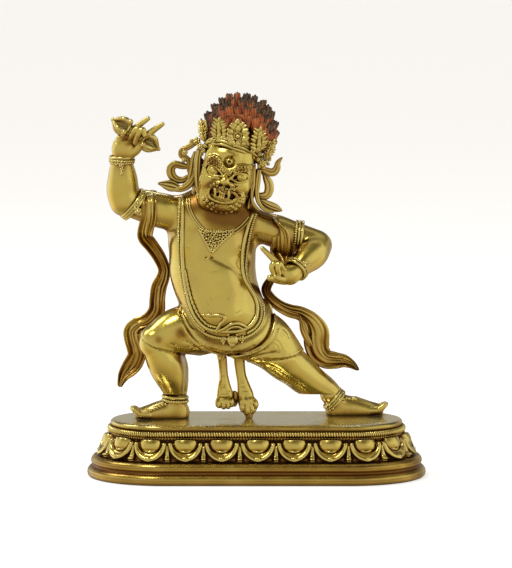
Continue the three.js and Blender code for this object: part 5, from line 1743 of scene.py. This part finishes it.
# Brown in the brows, the eyes, the moustache and the beard: patina in their hollows, and painted shade under
# the eyes and in their corners.
FACE_SPOTS = [
    (210, 163, 2.6, 0.6), (215, 161, 3.2, 0.8), (219, 165, 3.0, 0.7), (219, 173.6, 2.4, 0.7),
    (237, 170.4, 2.8, 0.6), (243, 169.4, 3.2, 0.7), (234.6, 178.6, 2.6, 0.8), (229.6, 162.5, 1.4, 0.7),
    (211, 185.4, 2.8, 0.8), (217, 186, 3.0, 0.9), (224, 188.4, 3.2, 0.9), (232, 189.6, 3.0, 0.8),
    (238, 195.6, 2.6, 0.7), (213, 193, 2.4, 0.8), (231, 197.6, 2.6, 0.8), (206, 205, 4.0, 0.5),
    (214, 208, 4.0, 0.5), (223, 209.4, 4.2, 0.35), (230, 209, 3.6, 0.2), (203, 188, 3.6, 0.4),
    (233.4, 156, 2.0, 0.6), (224.6, 172, 1.8, 0.4), (230.4, 173.2, 1.8, 0.4),
]
spots = [(*from_head([head_at(u, v, -16)])[0], reach, strength * 1.4) for u, v, reach, strength in FACE_SPOTS]
make_piece("head", head(), GILT, hollow=0.3, rounds=5, spots=spots)

BAND_RADIUS = 17.2
BAND_PLACES = [(203.4, 150), (206.4, 146), (210.6, 142.8), (215.6, 141.4), (221.6, 141.8), (228.6, 143.8),
               (235.6, 146.6), (243.4, 149.2), (250, 152), (255.6, 156), (259.6, 161)]
# Leaves of the crown: foot and tip in the picture, depth, the way they face, and half their width.
LEAVES = [
    ((205.4, 141), (203.2, 120), -4, -55, 2.6, 0), ((219.6, 141), (220.2, 118.6), -13.4, -18, 3.5, 0),
    ((238, 146.4), (237.8, 121.2), -15.6, 4, 5.2, 1), ((257.4, 151.6), (260, 128), -12.6, 20, 3.5, 0),
    ((266.6, 158.5), (272, 141), -4, 62, 2.6, 0),
]
# The lobes of a leaf, tier by tier: height, how many, how far out, and their size.
TIERS = [(0.1, 3, 0.7, 0.42), (0.24, 3, 0.86, 0.46), (0.39, 3, 0.9, 0.44), (0.54, 3, 0.78, 0.42),
         (0.68, 3, 0.56, 0.4), (0.81, 2, 0.34, 0.38), (0.93, 1, 0, 0.36)]


LEAF_STEM = [(0, 0.75), (0.15, 0.9), (0.4, 0.95), (0.62, 0.8), (0.8, 0.5), (0.93, 0.2)]
# Studs on the band, and the flowers at the temples, as (u, v, depth) and size; buds as foot, tip and size.
STUDS = [(235.4, 145.8, -17.8), (253, 151.4, -14.6), (212.6, 141.6, -15.4)]
FLOWERS = [
    (200.6, 147, -9, 2.2), (203.8, 151.4, -10, 1.7), (201.6, 154.6, -8, 1.5), (205.4, 146.4, -12, 1.3),
    (197, 141.4, -3, 2.6), (191.8, 141.4, -1, 1.5), (262.4, 163.4, -9, 2.4), (259.2, 166.4, -9, 1.5),
    (263.8, 167.6, -8, 1.6), (265.6, 161.4, -7, 1.6), (269, 159.4, -4, 1.7), (263.4, 157.4, -8, 1.6),
    (268, 164.4, -5, 1.3), (259.6, 154.6, -11, 1.5), (258.4, 159.8, -11, 1.5), (256.4, 151.4, -13, 1.2),
]
BUDS = [
    ((263, 153), (264.4, 145), 1.0), ((265.6, 155), (266.6, 146.6), 1.05), ((267.6, 156), (270, 147.6), 1.0),
    ((269.6, 154), (272.6, 144), 1.0), ((270.4, 156), (274.4, 148.6), 0.8), ((260, 152), (260.6, 146), 0.8),
]


def crown_band():
    """Three ridges round the head, and studs with rings on their front."""
    places = []
    for u, v in BAND_PLACES:
        y = -14.0
        for _ in range(4):
            x = head_at(u, v, y)[0]
            y = 1 - math.sqrt(max(BAND_RADIUS**2 - x * x, 4))
        places.append(head_at(u, v, y))
    # The band closes round the back of the head.
    start, end = places[-1], places[0]
    first, last = math.atan2(start[0], 1 - start[1]), math.atan2(end[0], 1 - end[1]) + 2 * math.pi
    height = start[2]
    for k in range(1, 14):
        angle, share = first + (last - first) * k / 14, k / 14
        height = height * (1 - share) + end[2] * share
        places.append(np.array([BAND_RADIUS * math.sin(angle), 1 - BAND_RADIUS * math.cos(angle), height]))
    parts = []
    for height, out, size, kind in ((-1.9, 0.1, 0.95, PLAIN), (0.0, 0.5, 1.1, TWISTED),
                                    (1.9, 0.3, 1.0, PLAIN)):
        ring = np.array(places) + [0, 0, height]
        ring[:, :2] *= 1 + out / BAND_RADIUS
        parts += cord(from_head(ring), size, kind, 2.2, closed=True)
    parts += cord(from_head(np.array(places) * [0.97, 0.97, 1]), 2.4, closed=True, flat=0.5)
    for place in STUDS:
        knob = from_head([head_at(*place)])[0]
        parts += cord(knob + circle_of(0.95, 16), 0.55, closed=True, around=7)
        parts += ball(knob + [0, 0.5, 0], (1.3, 0.5, 1.3))
    return parts


def crown_leaf(base, end, y, facing, half, jewelled):
    """A leaf of small lobes in tiers on a stem, with a stone in a ring where it is jewelled."""
    foot, tip = from_head([head_at(*base, y)])[0], from_head([head_at(*end, y - 1.2)])[0]
    tall = np.linalg.norm(tip - foot)
    rise = (tip - foot) / tall
    out = HEAD @ np.array([math.sin(math.radians(facing)), -math.cos(math.radians(facing)), 0.0])
    out = out - rise * (out @ rise)
    out /= np.linalg.norm(out)
    side = np.cross(rise, out)

    def place(across, lift, height):
        return foot + side * across * half + out * lift + rise * height * tall

    parts = loft([[*place(0, -0.9, height), width * half, 1.7] for height, width in LEAF_STEM],
                 16, facing=out)
    for height, count, reach, size in TIERS:
        for k in range(count):
            off = (k - (count - 1) / 2) * 2 / max(count - 1, 1)
            if jewelled and abs(off) < 0.5 and 0.2 < height < 0.55:
                continue
            wide, tilt = size * half * RANDOM.uniform(0.85, 1.2), off * 0.8 + RANDOM.uniform(-0.25, 0.25)
            lift = 1.0 - 0.5 * off * off + RANDOM.uniform(-0.25, 0.35)
            at = place(off * reach + RANDOM.uniform(-0.06, 0.06), lift, height + RANDOM.uniform(-0.03, 0.04))
            up = rise * math.cos(tilt) + side * math.sin(tilt)
            curl = side * (1 if off >= 0 else -1) * 0.7
            rows = [[*(at - up * 1.9 - out * 0.5), wide * 0.6, wide * 0.5], [*at, wide, wide * 0.8],
                    [*(at + up * 1.4 + out * 0.5 + curl * 0.4), wide * 0.6, wide * 0.6],
                    [*(at + up * 2.2 + out * 1.0 + curl), wide * 0.3, wide * 0.35]]
            parts += loft(rows, 10, 3, facing=out)
    if jewelled:
        heart = place(0, 1.0, 0.38)
        parts += ball(heart, half * 0.3, segments=18, rings=12)
        rows = [heart + (side * math.cos(t) + rise * math.sin(t)) * half * 0.44
                for t in np.linspace(0, 6.1, 24)]
        parts += cord(np.array(rows), 0.6, BEADED, 1.3, closed=True)
    return parts


def crown():
    """The band, the leaves that stand on it, and flowers and buds at the temples."""
    parts = crown_band()
    for leaf in LEAVES:
        parts += crown_leaf(*leaf)
    for u, v, y, size in FLOWERS:
        parts += rosette(seen(u, v, y), size, 6, facing=(0.25 if u > 230 else -0.25, -1, 0))
    for base, end, size in BUDS:
        rows = [[*seen(*base, -5), size * 0.6], [*(seen(*base, -5.6) * 0.5 + seen(*end, -5.6) * 0.5), size],
                [*seen(*end, -4), size * 0.35]]
        parts += loft(rows, 10, 3)
    return parts


make_piece("crown", crown(), GILT, hollow=0.22, rounds=2)


def grooved(angle):
    """A ribbon's section: a rounded band with one groove along it."""
    across = np.cos(angle)
    thick = np.abs(np.sin(angle)) ** 0.5
    groove = 0.3 * np.exp(-(((across - 0.2) / 0.14) ** 2))
    face = np.where(np.sin(angle) >= 0, 1.0, -1.0)
    return across, face * thick * (0.95 - 0.2 * across**2 - groove)


# A ribbon's half widths in the pictures are a little scant, and it is thicker than its section says.
RIBBON_WIDENING, RIBBON_THICKENING = 1.14, 1.5
# Chevron pleats of the fanned ends.
PLEATS = folds(5, 0.75)
# Ribbons and strands: depth, half thickness, section and places (u, v, half width).
# Right: a wave that flicks up, a loop, a fanned end, and two strands beside the ear.
RIGHT_RIBBONS = [
    (-2, 1.1, grooved, [
        (258, 169, 1.8), (262, 169.4, 2.6), (266.4, 171, 3.2), (270.4, 172.6, 3.6), (274.4, 171.8, 3.6),
        (277, 168, 3.2), (277.6, 163.8, 2.5), (279.6, 160.6, 1.7), (282.2, 157.8, 0.7)]),
    (1, 1.3, grooved, [
        (261.6, 170.6, 1.5), (264.6, 174.4, 2.4), (266.6, 179, 3.4), (268.8, 184, 4.1), (269, 190, 4.2),
        (266.6, 195, 3.9), (262, 196.2, 3.4), (257.6, 195.4, 2.6)]),
    (-1, 1.4, PLEATS, [
        (259.6, 200.6, 1.4), (263.6, 202.6, 3.0), (267.4, 205, 4.0), (271.6, 207, 4.3), (275.6, 208.2, 3.7),
        (279, 209.6, 2.5), (282, 210.6, 0.8)]),
    (-5, 1.3, grooved, [
        (259, 170, 2.2), (258, 178, 2.7), (257, 187, 2.6), (256.8, 195, 2.1), (258.2, 201.6, 1.9),
        (262, 207.2, 1.8), (267.6, 210.6, 1.7), (273.6, 212, 1.2)]),
    (-6.5, 1.4, grooved, [
        (254, 166, 1.8), (253, 176, 2.3), (252.4, 186, 2.2), (251.6, 194, 1.7), (252.2, 201, 1.6),
        (255, 206.4, 1.6), (259.4, 210.6, 1.0)]),
]
# Left: strands at the temple and a rolled curl.
TEMPLE_RIBBONS = [
    (-6, 1.9, grooved, [
        (199.6, 150, 2.6), (198, 160, 3.4), (197.6, 171, 3.4), (198, 183, 3.0), (199.4, 195, 2.4),
        (201.6, 205, 1.5)]),
    (-2.5, 1.4, grooved,
     [(195.4, 152, 1.4), (193.4, 160, 2.6), (192.2, 168, 3.0), (191, 174, 3.0), (189.4, 179, 2.2)]),
    (0, 1.0, grooved, [
        (198, 142, 2.0), (193.6, 144, 2.6), (190, 146.4, 2.7), (186.6, 148.4, 2.4), (183.2, 149.2, 2.0),
        (181, 152, 2.1), (181.4, 156, 2.2), (185.4, 157.4, 2.2), (188.8, 160.6, 2.4), (189.8, 166, 2.6),
        (189.6, 172, 2.4)]),
]
# Left: a wide loop, and a band with its fanned end.
LOOP_RIBBONS = [
    (0.5, 1.2, grooved, [
        (188.6, 166.6, 1.8), (184.6, 166.4, 2.8), (180, 165.4, 3.2), (175.4, 164.6, 3.4), (171.6, 167.6, 3.8),
        (171, 172.6, 4.0), (173.6, 177.6, 3.7), (178.4, 180.2, 3.2), (184, 179.8, 2.8), (188, 177, 2.2)]),
    (-3, 1.3, grooved, [
        (196.4, 168, 1.6), (195, 174, 2.4), (192, 180.4, 3.3), (187.6, 185.6, 3.6), (181.6, 188.8, 3.0),
        (175.6, 189, 2.6)]),
    (-2.5, 1.6, PLEATS, [
        (179.6, 188.4, 2.4), (174.8, 187, 4.4), (170.4, 185.8, 5.0), (165.8, 184.8, 4.0), (161.8, 184, 2.2),
        (158.2, 183.6, 0.7)]),
]


def ribbons():
    """Ribbons and strands that float beside the head."""

    def bands(table):
        made = []
        for y, thick, section, places in table:
            rows = [[*seen(u, v, y), w * PIXEL * RIBBON_WIDENING, thick * RIBBON_THICKENING]
                    for u, v, w in places]
            made += loft(rows, around=24, per_span=8, section=section)
        return made

    parts = bands(RIGHT_RIBBONS + TEMPLE_RIBBONS)
    # A ring with a stud in the rolled curl, and a flower under it.
    curl = seen(184.6, 152.6, -0.6)
    parts += cord(curl + circle_of(1.35, 20), 0.8, closed=True)
    parts += ball(curl, (1.2, 1.0, 1.2))
    parts += rosette(seen(184.2, 160.4, -1), 1.7, 6)
    return parts + bands(LOOP_RIBBONS)


make_piece("ribbons", ribbons(), GILT, hollow=0.35, rounds=3, stain_and_shade=0.4)


# Locks of hair round the outline: the tip and the root in the picture.
LOCKS = [
    ((203.2, 120.6), (210, 142), 0.2), ((207.6, 111.6), (213, 138), 0.25), ((213.6, 103), (219, 132), 0.28),
    ((221.6, 96.6), (225, 128), 0.6), ((229.2, 93), (231, 124), 0.25), ((237.2, 92.6), (238, 124), 0.14),
    ((246.2, 92.6), (245, 124), 0.5), ((254.4, 95), (251.6, 126), 0.35), ((263.4, 99.4), (257.4, 130), 0.38),
    ((269, 105), (261, 134), 0.32), ((273.4, 110.8), (264, 139), 0.24), ((277.2, 120.6), (266, 145), 0.28),
    ((278.4, 130.6), (267, 151), 0.35), ((275.6, 139.6), (266, 156), 0.3),
]
HAIR_DEPTH = 4
# Rows of locks: reach, depth of the tips, depth of the roots, half-step, and how far down each lock is dark.
HAIR_ROWS = [
    (0.12, 19.6, 15, 0, [0.1] * 14), (0.36, 18.6, 15, 0.5, [0.15] * 13), (0.6, 16, 13.4, 0, [0.2] * 14),
    (0.8, 13, 11, 0.5, [0.3] * 13), (1.0, 4, 0, 0, [lock[2] for lock in LOCKS]),
    (0.83, 1.2, -3.6, 0.5, [0.1, 0.15, 0.2, 0.35, 0.08, 0.3, 0.3, 0.75, 0.9, 0.3, 0.6, 0.2, 0.25]),
    (0.6, -2.4, -7, 0, [0, 0.1, 0.1, 0.2, 0, 0, 0.15, 0.2, 0, 0.2, 0.9, 0.3, 0, 0]),
    (0.36, -5.5, -9.5, 0.5, [0, 0.1, 0.2, 0.1, 0.15, 0, 0, 0, 0, 0.1, 0, 0.1, 0]),
]
LOCK_MARKS = ((0.0, 0.5), (0.2, 0.7), (0.4, 0.86), (0.6, 0.96), (0.78, 1.0), (0.9, 1.0), (0.955, 0.86),
              (0.99, 0.5))


# Rim of the smooth dome behind the middle leaf.
DOME_RIM = [(223.4, 119.4), (226, 116.6), (230, 115.4), (235, 115.6), (239.6, 116.8), (243.4, 119),
            (246.4, 123),
            (248, 128)]
LOCK_SIZE = 2.5


def hair():
    """Flame-like locks in rows over a domed core, each of a few strands that end in blunt curls."""
    parts, shares = [], []
    tips = np.array([seen(*tip, HAIR_DEPTH) for tip, root, _ in LOCKS])
    roots = np.array([seen(*root, HAIR_DEPTH) for tip, root, _ in LOCKS])

    def add(group, share):
        for points, faces in group:
            parts.append((points, faces))
            shares.append(share(points))

    def even(share):
        return lambda points: np.full(len(points), share)

    core = tips.mean(0) * 0.45 + roots.mean(0) * 0.55
    add(ball(core + [0, 2.5, -3], (15.4, 8.5, 15.5), (0, 8, 0), 40, 28), even(0.3))
    add(ball(core + [-2, 4, -11], (17, 12.5, 12), (0, 11.5, 0), 40, 28), even(0.5))
    # Smooth dome and its rim behind the middle leaf.
    add(ball(seen(236, 132, -4), (7.6, 5.2, 10.6), (0, 6, 0), 36, 24), even(0.42))
    add(cord(np.array([seen(u, v, -9.5) for u, v in DOME_RIM]), 0.6), even(0.5))

    def lock(root, tip, size, dark):
        way = tip - root
        long = np.linalg.norm(way)
        across = np.array([-way[2], 0, way[0]]) / long
        start, bend = RANDOM.uniform(0, 6.28), RANDOM.uniform(0.35, 0.75)

        def share(points):
            streak = RANDOM.uniform(-0.2, 0.2)
            along = (points - root) @ way / long**2 - 1 + dark + streak
            return np.clip(along * 3 + 0.4 + abs(streak), 0, 1)

        # Three strands side by side, wavy, with round ends of nearly the same reach.
        for off in (-1, 1, 0):
            reach = (1.0 if off == 0 else 0.965) + 0.025 * RANDOM.uniform(-1, 1)
            rows = []
            for t, w in LOCK_MARKS:
                sway = bend * math.sin(start + t * 5.2 + off * 0.5) * (0.3 + 0.7 * t)
                spot = root + way * t * reach + across * (sway + off * size * 0.62 * (0.45 + 0.55 * t))
                spot = spot + [0, (-0.25 if off == 0 else 0.15) * size, 0]
                rows.append([*spot, size * 0.43 * w, size * 0.8 * w])
            add(loft(rows, 10, 4, dome=0.7), share)

    for reach, tip_depth, root_depth, step, darks in HAIR_ROWS:
        for mark, dark in zip(np.arange(step, len(LOCKS) - 0.9, 1.0), darks):
            low, part = int(mark), mark % 1
            high = min(low + 1, len(LOCKS) - 1)
            tip, root = (a[low] * (1 - part) + a[high] * part for a in (tips, roots))
            tip = root + (tip - root) * (reach + (0.03 * RANDOM.uniform(-1, 1) if reach < 1 else 0))
            tip[1], root = tip_depth + 0.5 * RANDOM.uniform(-1, 1), root * [1, 0, 1] + [0, root_depth, 0]
            lock(root, tip, LOCK_SIZE * RANDOM.uniform(0.92, 1.12), dark)
    return parts, np.concatenate(shares)


hair_parts, dark_share = hair()
make_piece("hair", hair_parts, pigment("hair_pigment"), hollow=0.4, rounds=2, tips=dark_share)
